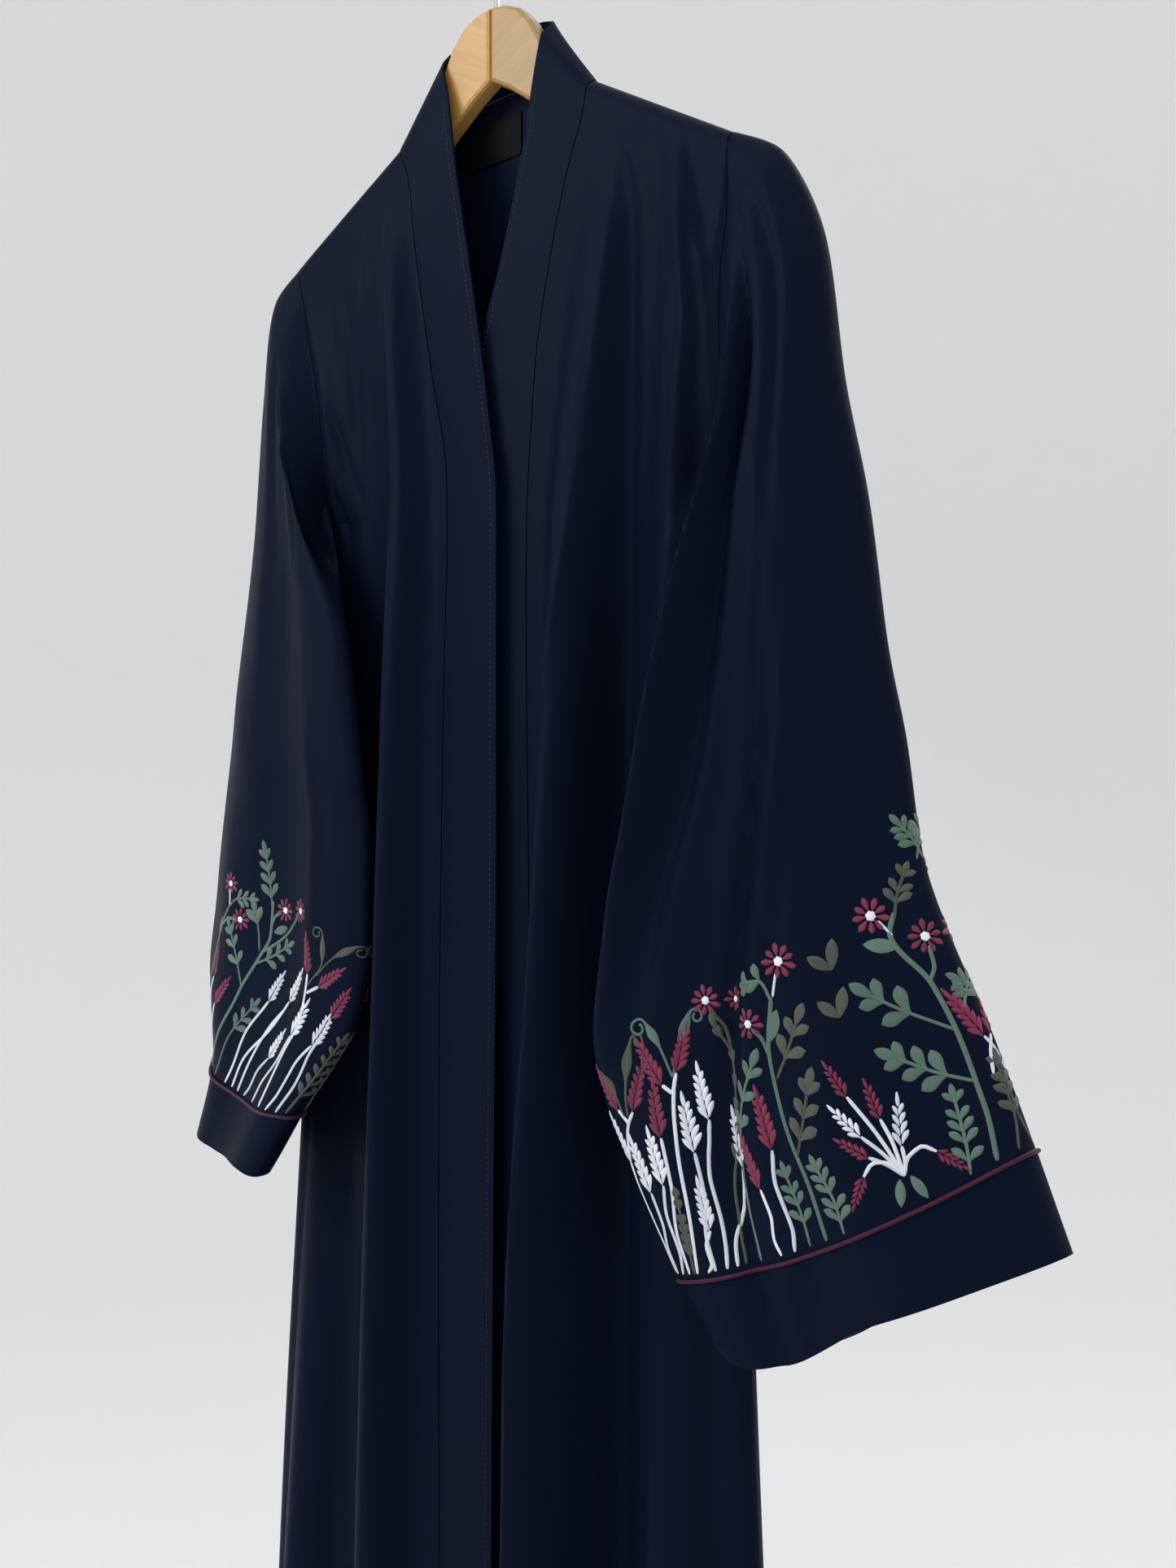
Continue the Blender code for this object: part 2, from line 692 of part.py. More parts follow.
def add_object(name, mesh, material, collection):
    """Links a mesh as a smooth-shaded object of the collection."""
    mesh.shade_smooth()
    mesh.set_sharp_from_angle(angle=math.radians(CREASE_DEGREES))
    mesh.materials.append(material)
    obj = bpy.data.objects.new(name, mesh)
    collection.objects.link(obj)
    return obj


def sheet_mesh(name, points, closed):
    """Returns an open grid of faces through rows of points. A closed one joins each row's two ends."""
    if closed:
        points = np.concatenate([points, points[:, :1]], axis=1)
    rows, columns = points.shape[:2]
    grid = bmesh.new()
    bmesh.ops.create_grid(grid, x_segments=columns - 1, y_segments=rows - 1, size=1.0)
    grid.verts.ensure_lookup_table()
    for vertex, place in zip(grid.verts, points.reshape(-1, 3)):
        vertex.co = place
    if closed:
        bmesh.ops.remove_doubles(grid, verts=grid.verts, dist=WELD_DISTANCE)
    mesh = bpy.data.meshes.new(name)
    grid.to_mesh(mesh)
    grid.free()
    return mesh


def add_cloth(name, points, material, collection, closed=False, thickness=CLOTH_THICKNESS):
    """Adds one piece of cloth: a sheet through the points, thickened equally to both sides."""
    obj = add_object(name, sheet_mesh(name, points, closed), material, collection)
    wall = obj.modifiers.new("Wall", "SOLIDIFY")
    wall.thickness = thickness
    wall.offset = 0.0
    return obj


def shortened(points, gap):
    """Returns rows of points with the last row drawn back by the gap."""
    step = points[-2] - points[-1]
    points = points.copy()
    points[-1] += step / np.linalg.norm(step, axis=1, keepdims=True) * gap
    return points


def add_cord(name, ring, outward, radius, material, collection):
    """Adds a closed cord along a ring of points, moved outward."""
    curve = bpy.data.curves.new(name, "CURVE")
    curve.dimensions = "3D"
    curve.bevel_depth = radius
    curve.bevel_resolution = 1
    spline = curve.splines.new("POLY")
    spline.points.add(len(ring) - 1)
    for point, place, away in zip(spline.points, ring, outward):
        point.co = (*(place + away), 1.0)
    spline.use_cyclic_u = True
    curve.materials.append(material)
    obj = bpy.data.objects.new(name, curve)
    collection.objects.link(obj)
    return obj


def ring_outward(rings, place):
    """Returns the outward direction of the cloth at every point of the ring at this place."""
    around = np.roll(rings[place], -1, axis=0) - np.roll(rings[place], 1, axis=0)
    along = rings[min(place + 1, len(rings) - 1)] - rings[place - 1]
    normal = np.cross(around, along)
    normal /= np.linalg.norm(normal, axis=1, keepdims=True)
    outward = rings[place] - rings[place].mean(axis=0)
    return normal * np.sign(np.sum(normal * outward, axis=1).sum())


def add_sleeve(side, front, back, materials, collection):
    """Adds a sleeve, the piping cord round its end and the cuff below it."""
    last = len(SLEEVES[side])
    piping_station = last - 1
    rings = sleeve_rings(side, front, back, np.linspace(0, piping_station, SLEEVE_RINGS + 1))
    cuff = sleeve_rings(side, front, back, np.linspace(piping_station, last, CUFF_RINGS + 1))
    reach = PIPING_RADIUS + SEAM_GAP + CLOTH_THICKNESS / 2
    outward = ring_outward(rings, len(rings) - 1) * reach
    name = f"piping_{side}"
    add_cord(name, rings[-1], outward, PIPING_RADIUS, materials["piping"], collection)
    sleeve = shortened(rings, SEAM_GAP / 2)
    add_cloth(f"sleeve_{side}", sleeve, materials["cloth"], collection, closed=True)
    cuff = shortened(cuff[::-1], SEAM_GAP / 2)[::-1]
    add_cloth(f"cuff_{side}", cuff, materials["cloth"], collection, closed=True)


def add_label(back, material, collection):
    """Adds the bare woven label on the inside of the back panel, just below the neckline."""
    middle = back.shape[1] // 2
    top_z = back[0, middle, 2] - LABEL_TOP_DROP
    lift = CLOTH_THICKNESS / 2 + SEAM_GAP + LABEL_THICKNESS / 2
    places = []
    column = back[:, middle]
    across = np.linspace(-LABEL_WIDTH / 2, LABEL_WIDTH / 2, LABEL_POINTS)
    for row_z in np.linspace(top_z, top_z - LABEL_HEIGHT, LABEL_ROWS):
        z = row_z + across * LABEL_TILT
        y = np.interp(-z, -column[:, 2], column[:, 1]) - lift
        places.append(np.stack([LABEL_CENTRE_X + across, y, z], axis=1))
    add_cloth("neck_label", np.array(places), material, collection, thickness=LABEL_THICKNESS)


def add_hanger_arm(side, material, collection):
    """Adds one wooden arm, an outline as thick as the wood, with rounded edges and a flat joint face."""
    sign = 1 if side == "right" else -1
    curve = bpy.data.curves.new(f"arm_{side}", "CURVE")
    curve.dimensions = "2D"
    curve.fill_mode = "BOTH"
    curve.extrude = WOOD_THICKNESS / 2 - WOOD_ROUND
    curve.bevel_depth = WOOD_ROUND
    curve.bevel_resolution = 1
    curve.offset = -WOOD_ROUND
    spline = curve.splines.new("POLY")
    spline.points.add(len(ARM_OUTLINE) - 1)
    for point, (x, z) in zip(spline.points, ARM_OUTLINE):
        point.co = (sign * (x + SEAM_GAP / 2), z, 0.0, 1.0)
    spline.use_cyclic_u = True
    obj = bpy.data.objects.new(f"arm_outline_{side}", curve)
    collection.objects.link(obj)
    obj.rotation_euler = (math.pi / 2, 0.0, 0.0)
    bpy.context.view_layer.update()
    graph = bpy.context.evaluated_depsgraph_get()
    mesh = bpy.data.meshes.new_from_object(obj.evaluated_get(graph))
    mesh.transform(obj.matrix_world)
    bpy.data.objects.remove(obj)
    shell = bmesh.new()
    shell.from_mesh(mesh)
    bmesh.ops.remove_doubles(shell, verts=shell.verts, dist=WELD_DISTANCE)
    bmesh.ops.recalc_face_normals(shell, faces=shell.faces)
    shell.to_mesh(mesh)
    shell.free()
    mesh.materials.clear()
    return add_object(f"hanger_arm_{side}", mesh, material, collection)


def bore_arms(arms, cutters):
    """Cuts the hole that the hook's shank is screwed into, half in each arm."""
    bottom = HOOK_ROUTE[0][1] - SEAM_GAP
    length = ARM_OUTLINE[0][1] - bottom
    bpy.ops.mesh.primitive_cylinder_add(
        vertices=BORE_VERTICES,
        radius=HOOK_WIRE / 2 + SEAM_GAP,
        depth=2 * length,
        location=(0.0, 0.0, bottom + length),
    )
    cutter = bpy.context.object
    cutter.name = "shank_bore"
    cutter.hide_render = True
    cutter.display_type = "WIRE"
    for holder in cutter.users_collection:
        holder.objects.unlink(cutter)
    cutters.objects.link(cutter)
    for arm in arms:
        bore = arm.modifiers.new("Shank bore", "BOOLEAN")
        bore.operation = "DIFFERENCE"
        bore.object = cutter


def add_hook(material, collection):
    """Adds the bent wire hook, a shank that rises from the wood and turns into a round hook."""
    radius = HOOK_INNER_RADIUS + HOOK_WIRE / 2
    centre_z = -HOOK_INNER_RADIUS
    angles = np.radians(np.linspace(HOOK_START_DEGREES, HOOK_END_DEGREES, HOOK_POINTS))
    arc = [(radius * math.cos(a), centre_z + radius * math.sin(a)) for a in angles]
    knots = list(HOOK_ROUTE) + arc
    curve = bpy.data.curves.new("hook", "CURVE")
    curve.dimensions = "3D"
    curve.bevel_depth = HOOK_WIRE / 2
    curve.bevel_resolution = 2
    curve.use_fill_caps = True
    spline = curve.splines.new("POLY")
    spline.points.add(len(knots) - 1)
    for point, (x, z) in zip(spline.points, knots):
        point.co = (x, 0.0, z, 1.0)
    curve.materials.append(material)
    obj = bpy.data.objects.new("hanger_hook", curve)
    collection.objects.link(obj)
    return obj


def main():
    """Builds the cloak and its hanger."""
    for obj in list(bpy.data.objects):
        bpy.data.objects.remove(obj, do_unlink=True)
    collection = bpy.data.collections.new("abaya_cloak")
    bpy.context.scene.collection.children.link(collection)
    cutters = bpy.data.collections.new("cutters")
    bpy.context.scene.collection.children.link(cutters)
    materials = {
        "cloth": solid_material("navy_satin_crepe", (0.006, 0.010, 0.020), 0.48),
        "piping": solid_material("maroon_piping", (0.11, 0.008, 0.03), 0.50),
        "label": solid_material("woven_label", (0.008, 0.008, 0.012), 0.60),
        "wood": solid_material("pale_wood", (0.72, 0.52, 0.27), 0.45),
        "steel": solid_material("bright_steel", (0.70, 0.70, 0.70), 0.25, 1.0),
    }
    back = back_points()
    add_cloth("back_panel", back, materials["cloth"], collection)
    arms = []
    for side in ("left", "right"):
        front = front_points(side)
        add_cloth(f"front_{side}", front, materials["cloth"], collection)
        band = band_points(side, front, back)
        add_cloth(f"band_{side}", band, materials["cloth"], collection)
        add_sleeve(side, front, back, materials, collection)
        arms.append(add_hanger_arm(side, materials["wood"], collection))
    bore_arms(arms, cutters)
    add_label(back, materials["label"], collection)
    add_hook(materials["steel"], collection)


if __name__ == "__main__":
    main()
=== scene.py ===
"""An open-front abaya cloak with embroidered bell sleeves on a wooden hanger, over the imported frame."""

import logging
import math
from collections.abc import Sequence
from dataclasses import dataclass, field
from enum import Enum
from typing import ClassVar, NamedTuple

import bpy
import numpy as np
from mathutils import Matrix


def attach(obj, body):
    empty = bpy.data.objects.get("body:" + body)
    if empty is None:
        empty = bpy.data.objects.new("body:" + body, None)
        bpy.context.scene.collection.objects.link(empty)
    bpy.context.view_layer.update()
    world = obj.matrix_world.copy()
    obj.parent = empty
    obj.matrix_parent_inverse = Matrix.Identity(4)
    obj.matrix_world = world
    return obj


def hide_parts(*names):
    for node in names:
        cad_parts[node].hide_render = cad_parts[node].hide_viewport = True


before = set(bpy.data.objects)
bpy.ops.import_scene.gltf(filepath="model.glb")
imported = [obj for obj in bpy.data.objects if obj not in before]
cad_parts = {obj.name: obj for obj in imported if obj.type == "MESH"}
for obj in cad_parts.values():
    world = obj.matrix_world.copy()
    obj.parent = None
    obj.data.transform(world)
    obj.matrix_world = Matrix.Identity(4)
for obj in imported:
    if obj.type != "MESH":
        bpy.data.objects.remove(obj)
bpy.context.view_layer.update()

LOG = logging.getLogger("abaya_cloak")


class Side(Enum):
    """The two sides of the cloak, as they lie in the picture."""

    LEFT = "left"
    RIGHT = "right"

    @property
    def sign(self) -> int:
        """The sign of x on this side."""
        return 1 if self is Side.RIGHT else -1


class Thread(Enum):
    """The four threads of the embroidery."""

    WHITE = "white"
    MAROON = "maroon"
    SAGE = "sage"
    OLIVE = "olive"


class FrontSection(NamedTuple):
    """One level of a front panel, where its seam with the band lies."""

    z: float
    seam_x: float
    seam_y: float


class SideSection(NamedTuple):
    """One level of the garment's edge, armhole above and side seam below, and the front beside it."""

    z: float
    x: float
    front_y: float


class BandSection(NamedTuple):
    """The band's free edge, listed by the height of the seam point that it stands across from."""

    seam_z: float
    x: float
    y: float
    z: float


class Fold(NamedTuple):
    """One level of a soft fold: its crest, its rise and how far it reaches to each side."""

    z: float
    x: float
    rise: float
    inner: float
    outer: float


class Crease(NamedTuple):
    """One level of a narrow crease in a panel: its crest, its rise and its half width."""

    z: float
    x: float
    rise: float
    width: float


class SleeveSection(NamedTuple):
    """One ring of a sleeve: its outer and inner ends, its depths and how far its middle sags."""

    outer_x: float
    outer_y: float
    outer_z: float
    inner_x: float
    inner_y: float
    inner_z: float
    front: float
    back: float
    sag: float


class SleeveFold(NamedTuple):
    """A fold along a sleeve: at each station, its place across (1 outer, -1 inner), its rise and width."""

    station: float
    across: float
    rise: float
    width: float


WAVE_SCALE = 0.314  # A wave texture's scale for one band a metre


def rows_of(kind: type[NamedTuple], *rows: Sequence[float]) -> tuple:
    """Returns the rows of a table, each as one named tuple of that kind."""
    return tuple(kind(*row) for row in rows)


FRONT_SEAMS = {
    Side.LEFT: rows_of(
        FrontSection, (-0.131, -0.0800, -0.0040), (-0.150, -0.0700, -0.0090), (-0.208, -0.0570, -0.0130),
        (-0.277, -0.0416, -0.0160), (-0.353, -0.0250, -0.0180), (-0.404, -0.0230, -0.0200),
        (-0.477, -0.0235, -0.0220), (-0.645, -0.0230, -0.0260), (-0.829, -0.0200, -0.0300),
        (-1.008, -0.0155, -0.0340), (-1.500, -0.0110, -0.0370),
    ),
    Side.RIGHT: rows_of(
        FrontSection, (-0.131, 0.0800, -0.0040), (-0.150, 0.0770, -0.0090), (-0.177, 0.0680, -0.0100),
        (-0.225, 0.0560, -0.0115), (-0.294, 0.0440, -0.0130), (-0.393, 0.0395, -0.0155),
        (-0.474, 0.0410, -0.0170), (-0.650, 0.0450, -0.0195), (-0.850, 0.0450, -0.0215),
        (-1.050, 0.0440, -0.0230), (-1.500, 0.0420, -0.0250),
    ),
}

EDGES = {
    Side.LEFT: rows_of(
        SideSection, (-0.186, -0.176, -0.009), (-0.232, -0.166, -0.008), (-0.263, -0.157, -0.006),
        (-0.300, -0.151, -0.004), (-0.365, -0.150, -0.003), (-0.410, -0.157, -0.003),
        (-0.480, -0.166, -0.003), (-0.600, -0.173, -0.004), (-0.765, -0.180, -0.005),
        (-1.080, -0.200, -0.009), (-1.500, -0.236, -0.010),
    ),
    Side.RIGHT: rows_of(
        SideSection, (-0.186, 0.178, -0.009), (-0.232, 0.178, -0.009), (-0.263, 0.175, -0.009),
        (-0.300, 0.174, -0.009), (-0.365, 0.174, -0.008), (-0.600, 0.178, -0.008), (-0.853, 0.188, -0.009),
        (-1.080, 0.199, -0.010), (-1.500, 0.226, -0.010),
    ),
}

BAND_EDGES = {
    Side.LEFT: rows_of(
        BandSection, (-0.131, -0.0395, 0.0000, -0.081), (-0.135, -0.0370, -0.0090, -0.091),
        (-0.147, -0.0300, -0.0125, -0.110), (-0.177, -0.0170, -0.0180, -0.163),
        (-0.240, -0.0020, -0.0210, -0.227), (-0.330, 0.0162, -0.0230, -0.323),
        (-0.372, 0.0235, -0.0250, -0.369), (-0.440, 0.0250, -0.0265, -0.440),
        (-0.645, 0.0278, -0.0300, -0.645), (-1.008, 0.0285, -0.0345, -1.008),
        (-1.500, 0.0330, -0.0370, -1.500),
    ),
    Side.RIGHT: rows_of(
        BandSection, (-0.131, 0.0445, 0.0000, -0.087), (-0.135, 0.0440, -0.0085, -0.096),
        (-0.150, 0.0400, -0.0115, -0.125), (-0.177, 0.0345, -0.0125, -0.157),
        (-0.220, 0.0180, -0.0140, -0.222), (-0.294, -0.0020, -0.0160, -0.290),
        (-0.393, -0.0085, -0.0180, -0.392), (-0.650, -0.0030, -0.0215, -0.650),
        (-1.050, -0.0040, -0.0250, -1.050), (-1.500, -0.0060, -0.0270, -1.500),
    ),
}

FRONT_FOLDS = {
    Side.LEFT: (
        rows_of(
            Fold, (-0.160, -0.071, 0.004, 0.020, 0.024), (-0.214, -0.069, 0.010, 0.022, 0.026),
            (-0.303, -0.065, 0.014, 0.028, 0.028), (-0.406, -0.058, 0.018, 0.034, 0.030),
            (-0.645, -0.057, 0.024, 0.034, 0.032), (-0.832, -0.060, 0.028, 0.040, 0.034),
            (-1.014, -0.061, 0.031, 0.044, 0.036), (-1.500, -0.064, 0.040, 0.050, 0.042),
        ),
        rows_of(
            Fold, (-0.700, -0.150, 0.000, 0.040, 0.030), (-0.850, -0.152, 0.010, 0.044, 0.034),
            (-1.080, -0.156, 0.026, 0.050, 0.038), (-1.500, -0.172, 0.042, 0.060, 0.048),
        ),
    ),
    Side.RIGHT: (
        rows_of(
            Fold, (-0.200, 0.095, 0.000, 0.020, 0.024), (-0.278, 0.086, 0.010, 0.026, 0.026),
            (-0.389, 0.078, 0.019, 0.028, 0.030), (-0.510, 0.080, 0.031, 0.028, 0.032),
            (-0.624, 0.080, 0.041, 0.028, 0.034), (-0.804, 0.074, 0.053, 0.028, 0.036),
            (-0.974, 0.066, 0.061, 0.028, 0.040), (-1.500, 0.064, 0.072, 0.030, 0.044),
        ),
        rows_of(
            Fold, (-0.186, 0.140, 0.004, 0.020, 0.020), (-0.268, 0.152, 0.008, 0.026, 0.024),
            (-0.379, 0.148, 0.010, 0.030, 0.024), (-0.510, 0.136, 0.010, 0.030, 0.030),
            (-0.800, 0.140, 0.012, 0.034, 0.034), (-1.050, 0.150, 0.030, 0.038, 0.036),
            (-1.500, 0.166, 0.048, 0.046, 0.044),
        ),
    ),
}

BACK_FOLDS = (
    rows_of(
        Fold, (-0.200, -0.130, 0.000, 0.030, 0.030), (-0.600, -0.112, 0.008, 0.036, 0.034),
        (-1.500, -0.150, 0.034, 0.050, 0.050),
    ),
    rows_of(
        Fold, (-0.240, -0.030, 0.000, 0.034, 0.034), (-0.700, -0.044, 0.012, 0.038, 0.040),
        (-1.500, -0.052, 0.036, 0.046, 0.044),
    ),
    rows_of(
        Fold, (-0.300, 0.040, 0.000, 0.034, 0.034), (-0.640, 0.046, 0.009, 0.040, 0.036),
        (-1.500, 0.050, 0.030, 0.044, 0.046),
    ),
    rows_of(
        Fold, (-0.200, 0.125, 0.002, 0.030, 0.028), (-0.720, 0.126, 0.012, 0.034, 0.034),
        (-1.500, 0.146, 0.038, 0.048, 0.048),
    ),
)

# Narrow creases, each dying out at both ends
FRONT_CREASES = {
    Side.LEFT: (
        rows_of(
            Crease, (-0.150, -0.104, 0.0, 0.007), (-0.190, -0.106, 0.0012, 0.009),
            (-0.300, -0.112, 0.0010, 0.011), (-0.380, -0.110, 0.0, 0.012),
        ),
        rows_of(
            Crease, (-0.280, -0.146, 0.0, 0.006), (-0.300, -0.138, -0.0014, 0.008),
            (-0.330, -0.128, -0.0010, 0.009), (-0.360, -0.116, 0.0, 0.010),
        ),
        rows_of(
            Crease, (-0.330, -0.148, 0.0, 0.006), (-0.352, -0.140, -0.0022, 0.007),
            (-0.380, -0.130, -0.0010, 0.010), (-0.420, -0.118, 0.0, 0.012),
        ),
        rows_of(
            Crease, (-0.200, -0.138, 0.0, 0.008), (-0.250, -0.132, 0.0012, 0.010),
            (-0.330, -0.122, 0.0008, 0.013), (-0.430, -0.114, 0.0, 0.014),
        ),
        rows_of(
            Crease, (-0.360, -0.079, 0.0, 0.007), (-0.520, -0.077, 0.0012, 0.007),
            (-0.900, -0.079, 0.0016, 0.008), (-1.400, -0.084, 0.0, 0.010),
        ),
        rows_of(
            Crease, (-0.560, -0.112, 0.0, 0.014), (-0.760, -0.110, 0.0020, 0.018),
            (-1.050, -0.112, 0.0026, 0.022), (-1.500, -0.118, 0.0030, 0.026),
        ),
        rows_of(
            Crease, (-0.150, -0.090, 0.0, 0.005), (-0.176, -0.086, 0.0012, 0.006),
            (-0.230, -0.080, 0.0, 0.008),
        ),
        rows_of(
            Crease, (-0.200, -0.056, 0.0, 0.022), (-0.300, -0.057, 0.0014, 0.026),
            (-0.450, -0.058, 0.0024, 0.030), (-0.900, -0.060, 0.0026, 0.032),
            (-1.500, -0.062, 0.0022, 0.034),
        ),
    ),
    Side.RIGHT: (
        rows_of(
            Crease, (-0.140, 0.097, 0.0, 0.006), (-0.165, 0.104, 0.0016, 0.008),
            (-0.202, 0.121, 0.0012, 0.010), (-0.250, 0.128, 0.0, 0.012),
        ),
        rows_of(
            Crease, (-0.150, 0.140, 0.0, 0.006), (-0.190, 0.147, 0.0026, 0.009),
            (-0.240, 0.152, 0.0024, 0.009), (-0.284, 0.1555, 0.0026, 0.009), (-0.327, 0.152, 0.0028, 0.010),
            (-0.386, 0.148, 0.0026, 0.013), (-0.431, 0.147, 0.0018, 0.016), (-0.560, 0.142, 0.0, 0.020),
        ),
        rows_of(
            Crease, (-0.200, 0.149, 0.0, 0.005), (-0.252, 0.163, 0.0016, 0.007),
            (-0.293, 0.171, 0.0010, 0.007), (-0.320, 0.174, 0.0, 0.006),
        ),
        rows_of(
            Crease, (-0.200, 0.098, 0.0, 0.006), (-0.264, 0.0965, 0.0010, 0.007),
            (-0.400, 0.083, 0.0013, 0.008), (-0.529, 0.068, 0.0015, 0.009), (-0.800, 0.061, 0.0014, 0.010),
            (-1.200, 0.060, 0.0010, 0.012), (-1.500, 0.060, 0.0005, 0.014),
        ),
        rows_of(
            Crease, (-0.150, 0.106, 0.0, 0.010), (-0.227, 0.111, -0.0024, 0.014),
            (-0.440, 0.104, -0.0048, 0.019), (-0.560, 0.101, -0.0058, 0.023),
            (-0.800, 0.100, -0.0060, 0.028), (-1.100, 0.104, -0.0052, 0.032),
            (-1.500, 0.110, -0.0044, 0.036),
        ),
        rows_of(
            Crease, (-0.340, 0.168, 0.0, 0.006), (-0.380, 0.160, 0.0014, 0.010),
            (-0.450, 0.152, 0.0, 0.014),
        ),
        rows_of(
            Crease, (-0.700, 0.158, 0.0, 0.010), (-0.860, 0.160, 0.0016, 0.014),
            (-1.200, 0.170, 0.0020, 0.018), (-1.500, 0.180, 0.0020, 0.020),
        ),
        rows_of(
            Crease, (-0.160, 0.126, 0.0, 0.008), (-0.200, 0.134, -0.0014, 0.010),
            (-0.260, 0.136, 0.0, 0.012),
        ),
    ),
}

BACK_CREASES = (
    rows_of(
        Crease, (-0.150, -0.060, 0.0, 0.010), (-0.220, -0.064, 0.0016, 0.014),
        (-0.360, -0.078, 0.0020, 0.018), (-0.560, -0.086, 0.0, 0.022),
    ),
    rows_of(
        Crease, (-0.190, 0.142, 0.0, 0.008), (-0.260, 0.134, 0.0024, 0.012), (-0.400, 0.112, 0.0022, 0.016),
        (-0.600, 0.096, 0.0, 0.022),
    ),
    rows_of(
        Crease, (-0.200, -0.150, 0.0, 0.008), (-0.280, -0.136, 0.0022, 0.012),
        (-0.420, -0.100, 0.0020, 0.018), (-0.560, -0.080, 0.0, 0.022),
    ),
    rows_of(
        Crease, (-0.140, 0.010, 0.0, 0.010), (-0.240, 0.006, -0.0014, 0.014),
        (-0.460, 0.000, -0.0016, 0.018), (-0.700, 0.000, 0.0, 0.020),
    ),
    rows_of(
        Crease, (-0.340, 0.162, 0.0, 0.008), (-0.400, 0.150, 0.0020, 0.012), (-0.520, 0.138, 0.0012, 0.016),
        (-0.680, 0.132, 0.0, 0.020),
    ),
    rows_of(
        Crease, (-0.650, -0.088, 0.0, 0.012), (-0.900, -0.092, 0.0026, 0.018),
        (-1.500, -0.100, 0.0040, 0.024),
    ),
    rows_of(
        Crease, (-0.760, 0.092, 0.0, 0.012), (-1.000, 0.096, 0.0022, 0.018), (-1.500, 0.100, 0.0036, 0.024),
    ),
)

SLEEVES = {
    Side.LEFT: rows_of(
        SleeveSection, (-0.201, 0.000, -0.202, -0.141, -0.019, -0.387, 0.018, 0.016, 0.000),
        (-0.217, 0.002, -0.265, -0.115, -0.030, -0.410, 0.018, 0.012, 0.000),
        (-0.227, 0.003, -0.350, -0.100, -0.035, -0.438, 0.018, 0.008, 0.002),
        (-0.244, 0.004, -0.438, -0.089, -0.036, -0.490, 0.019, 0.008, 0.005),
        (-0.253, 0.004, -0.490, -0.080, -0.037, -0.540, 0.020, 0.008, 0.006),
        (-0.261, 0.004, -0.537, -0.073, -0.037, -0.583, 0.020, 0.008, 0.008),
        (-0.272, 0.003, -0.608, -0.074, -0.037, -0.645, 0.020, 0.009, 0.009),
        (-0.276, 0.000, -0.660, -0.084, -0.039, -0.688, 0.020, 0.012, 0.009),
        (-0.272, -0.002, -0.690, -0.100, -0.044, -0.714, 0.020, 0.015, 0.008),
        (-0.261, -0.004, -0.728, -0.124, -0.055, -0.750, 0.020, 0.020, 0.008),
        (-0.272, -0.007, -0.776, -0.152, -0.060, -0.790, 0.018, 0.020, 0.003),
    ),
    Side.RIGHT: rows_of(
        SleeveSection, (0.205, 0.000, -0.200, 0.177, -0.012, -0.386, 0.018, 0.014, 0.000),
        (0.2325, 0.002, -0.253, 0.175, -0.030, -0.412, 0.020, 0.012, 0.000),
        (0.242, 0.004, -0.323, 0.167, -0.044, -0.456, 0.022, 0.012, 0.002),
        (0.257, 0.004, -0.392, 0.154, -0.048, -0.510, 0.022, 0.012, 0.005),
        (0.268, 0.004, -0.467, 0.143, -0.050, -0.567, 0.023, 0.012, 0.007),
        (0.278, 0.004, -0.513, 0.133, -0.052, -0.615, 0.024, 0.012, 0.009),
        (0.289, 0.002, -0.574, 0.125, -0.052, -0.672, 0.025, 0.013, 0.011),
        (0.305, 0.000, -0.614, 0.128, -0.047, -0.705, 0.026, 0.016, 0.012),
        (0.324, 0.000, -0.653, 0.142, -0.041, -0.742, 0.027, 0.020, 0.013),
        (0.349, 0.000, -0.714, 0.168, -0.032, -0.801, 0.028, 0.026, 0.011),
        (0.367, 0.000, -0.760, 0.191, -0.034, -0.838, 0.028, 0.028, 0.003),
    ),
}

SLEEVE_FOLDS = {
    Side.LEFT: (
        rows_of(
            SleeveFold, (1.2, 0.05, 0.000, 0.50), (3.0, 0.00, -0.006, 0.50), (6.0, -0.10, -0.008, 0.50),
            (8.5, -0.20, -0.005, 0.50), (11.0, -0.20, -0.003, 0.50),
        ),
        rows_of(SleeveFold, (3.0, 0.62, 0.000, 0.40), (7.0, 0.55, 0.005, 0.42), (11.0, 0.50, 0.006, 0.42)),
    ),
    Side.RIGHT: (
        rows_of(
            SleeveFold, (1.2, 0.05, 0.000, 0.50), (2.5, -0.05, -0.007, 0.50), (4.0, -0.15, -0.008, 0.50),
            (7.0, -0.22, -0.009, 0.46), (10.0, -0.32, -0.007, 0.44), (11.0, -0.35, -0.005, 0.42),
        ),
        rows_of(
            SleeveFold, (3.0, 0.60, 0.000, 0.40), (6.0, 0.48, 0.006, 0.42), (9.0, 0.38, 0.009, 0.45),
            (11.0, 0.32, 0.008, 0.45),
        ),
    ),
}

